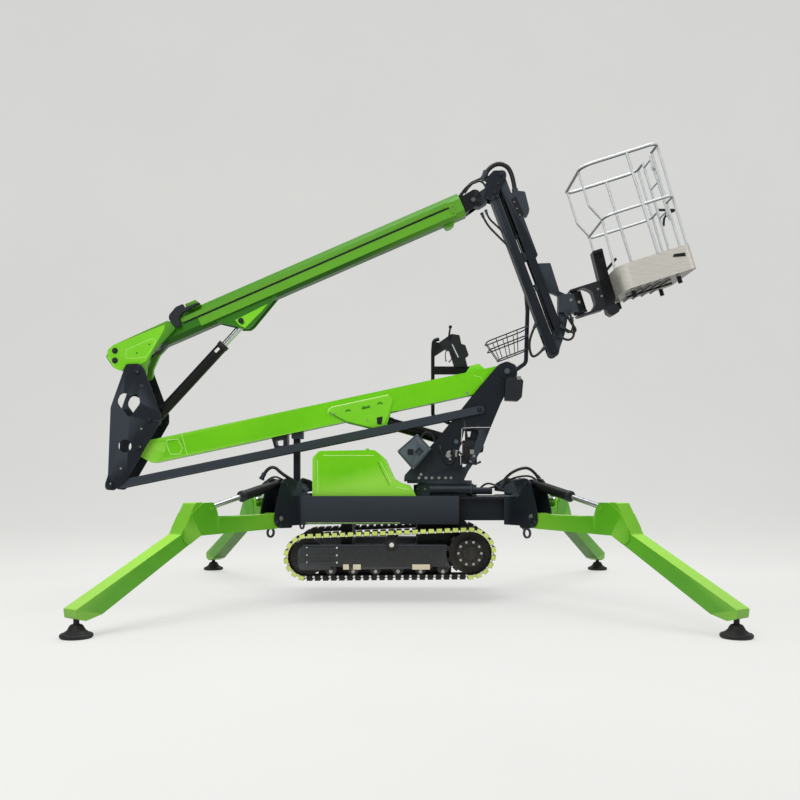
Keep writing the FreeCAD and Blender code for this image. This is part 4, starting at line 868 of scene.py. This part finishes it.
def on_boom(along, across, depth):
    """Point on the upper boom, from its pivot along and across it."""
    x = BOOM_PIVOT[0] + along * math.cos(BOOM_TURN) - across * math.sin(BOOM_TURN)
    z = BOOM_PIVOT[1] + along * math.sin(BOOM_TURN) + across * math.cos(BOOM_TURN)
    return in_frame(x, depth, z)


def boom_band(name, material, start, end, low, high, thick):
    """Flat band on both sides of the upper boom."""
    bm = bmesh.new()
    corners = ((start, low), (end, low), (end, high), (start, high))
    for side in (-1, 1):
        back = [on_boom(along, across, side * (BOOM_HALF - BAND_SUNK)) for along, across in corners]
        add_prism(bm, [c + Vector((0, side * thick * MM, 0)) for c in back], back)
    bmesh.ops.recalc_face_normals(bm, faces=bm.faces[:])
    finish_mesh(bm, name, material, "upper_boom", bevel=0.001)


for row in BOOM_BANDS:
    boom_band(*row)


# Floor that sweeps up behind the machine, in metres

FLOOR_HALF = 60
FLOOR_FRONT = -40.0
SWEEP_START = 8.0
SWEEP_R = 9.0
SWEEP_STEPS = 24
SWEEP_TOP = 45.0
FLOOR_GLOW = 0.58

sweep = [(FLOOR_FRONT, 0.0), (SWEEP_START, 0.0)]
for step in range(1, SWEEP_STEPS + 1):
    turn = step / SWEEP_STEPS * math.pi / 2
    sweep.append((SWEEP_START + SWEEP_R * math.sin(turn), SWEEP_R * (1 - math.cos(turn))))
sweep.append((SWEEP_START + SWEEP_R, SWEEP_TOP))
floor_mesh = bpy.data.meshes.new("floor")
floor_mesh.from_pydata([(x, y, z) for y, z in sweep for x in (-FLOOR_HALF, FLOOR_HALF)], [],
                       [(2 * i, 2 * i + 1, 2 * i + 3, 2 * i + 2) for i in range(len(sweep) - 1)])
for poly in floor_mesh.polygons:
    poly.use_smooth = True
floor = bpy.data.objects.new("floor", floor_mesh)
bpy.context.scene.collection.objects.link(floor)
ground = Finish(bpy.data.materials.new("floor_pale"))
ground.colour(ground.mix(ground.ramp(ground.noise(0.4, 3, 0.5), "Fac", 0.3, 0.7, 0, 1),
                         rgb("999997"), rgb("949492")))
ground.set(Emission_Color=rgb("f4f4f2"), Emission_Strength=FLOOR_GLOW, Roughness=0.9, Specular_IOR_Level=0.1)
floor_mesh.materials.append(ground.material)


# World, pale where the camera sees it and dimmer as fill light

FILL_STRENGTH = 0.3
SEEN_STRENGTH = 0.78

world = bpy.data.worlds.new("studio")
world.use_nodes = True
sky = world.node_tree
back = sky.nodes["Background"]
back.inputs["Color"].default_value = rgb("f3f3f2")
strength = sky.nodes.new("ShaderNodeMapRange")
strength.inputs["To Min"].default_value = FILL_STRENGTH
strength.inputs["To Max"].default_value = SEEN_STRENGTH
sky.links.new(sky.nodes.new("ShaderNodeLightPath").outputs["Is Camera Ray"], strength.inputs["Value"])
sky.links.new(strength.outputs["Result"], back.inputs["Strength"])
bpy.context.scene.world = world

LIGHTS = (
    # name, place, target, size, power in watts
    ("key", (-3.5, -7.5, 8.5), (0, 0, 1.4), (6, 5), 460),
    ("top", (0.5, 1.0, 10.0), (0, 0, 1.0), (8, 8), 640),
    ("fill", (7.5, -5.0, 4.5), (0, 0, 1.6), (5, 5), 60),
)
for name, place, target, size, power in LIGHTS:
    data = bpy.data.lights.new(name, "AREA")
    data.shape = "RECTANGLE"
    data.size, data.size_y = size
    data.energy = power
    light = bpy.data.objects.new(name, data)
    bpy.context.scene.collection.objects.link(light)
    light.location = place
    light.rotation_euler = (Vector(target) - Vector(place)).to_track_quat("-Z", "Y").to_euler()


# Camera at the photograph's place, level, with its picture shifted to the photograph's frame

camera_data = bpy.data.cameras.new("camera")
camera = bpy.data.objects.new("camera", camera_data)
bpy.context.scene.collection.objects.link(camera)
camera.location = EYE
camera.rotation_euler = (math.radians(90), 0, 0)
camera_data.sensor_width = SENSOR_MM
camera_data.lens = FOCAL_PX / FRAME_PX * SENSOR_MM
camera_data.shift_x = (FRAME_PX / 2 - EYE_PX[0]) / FRAME_PX
camera_data.shift_y = (EYE_PX[1] - FRAME_PX / 2) / FRAME_PX
camera_data.clip_end = 300
bpy.context.scene.camera = camera
bpy.context.scene.view_settings.view_transform = "Standard"
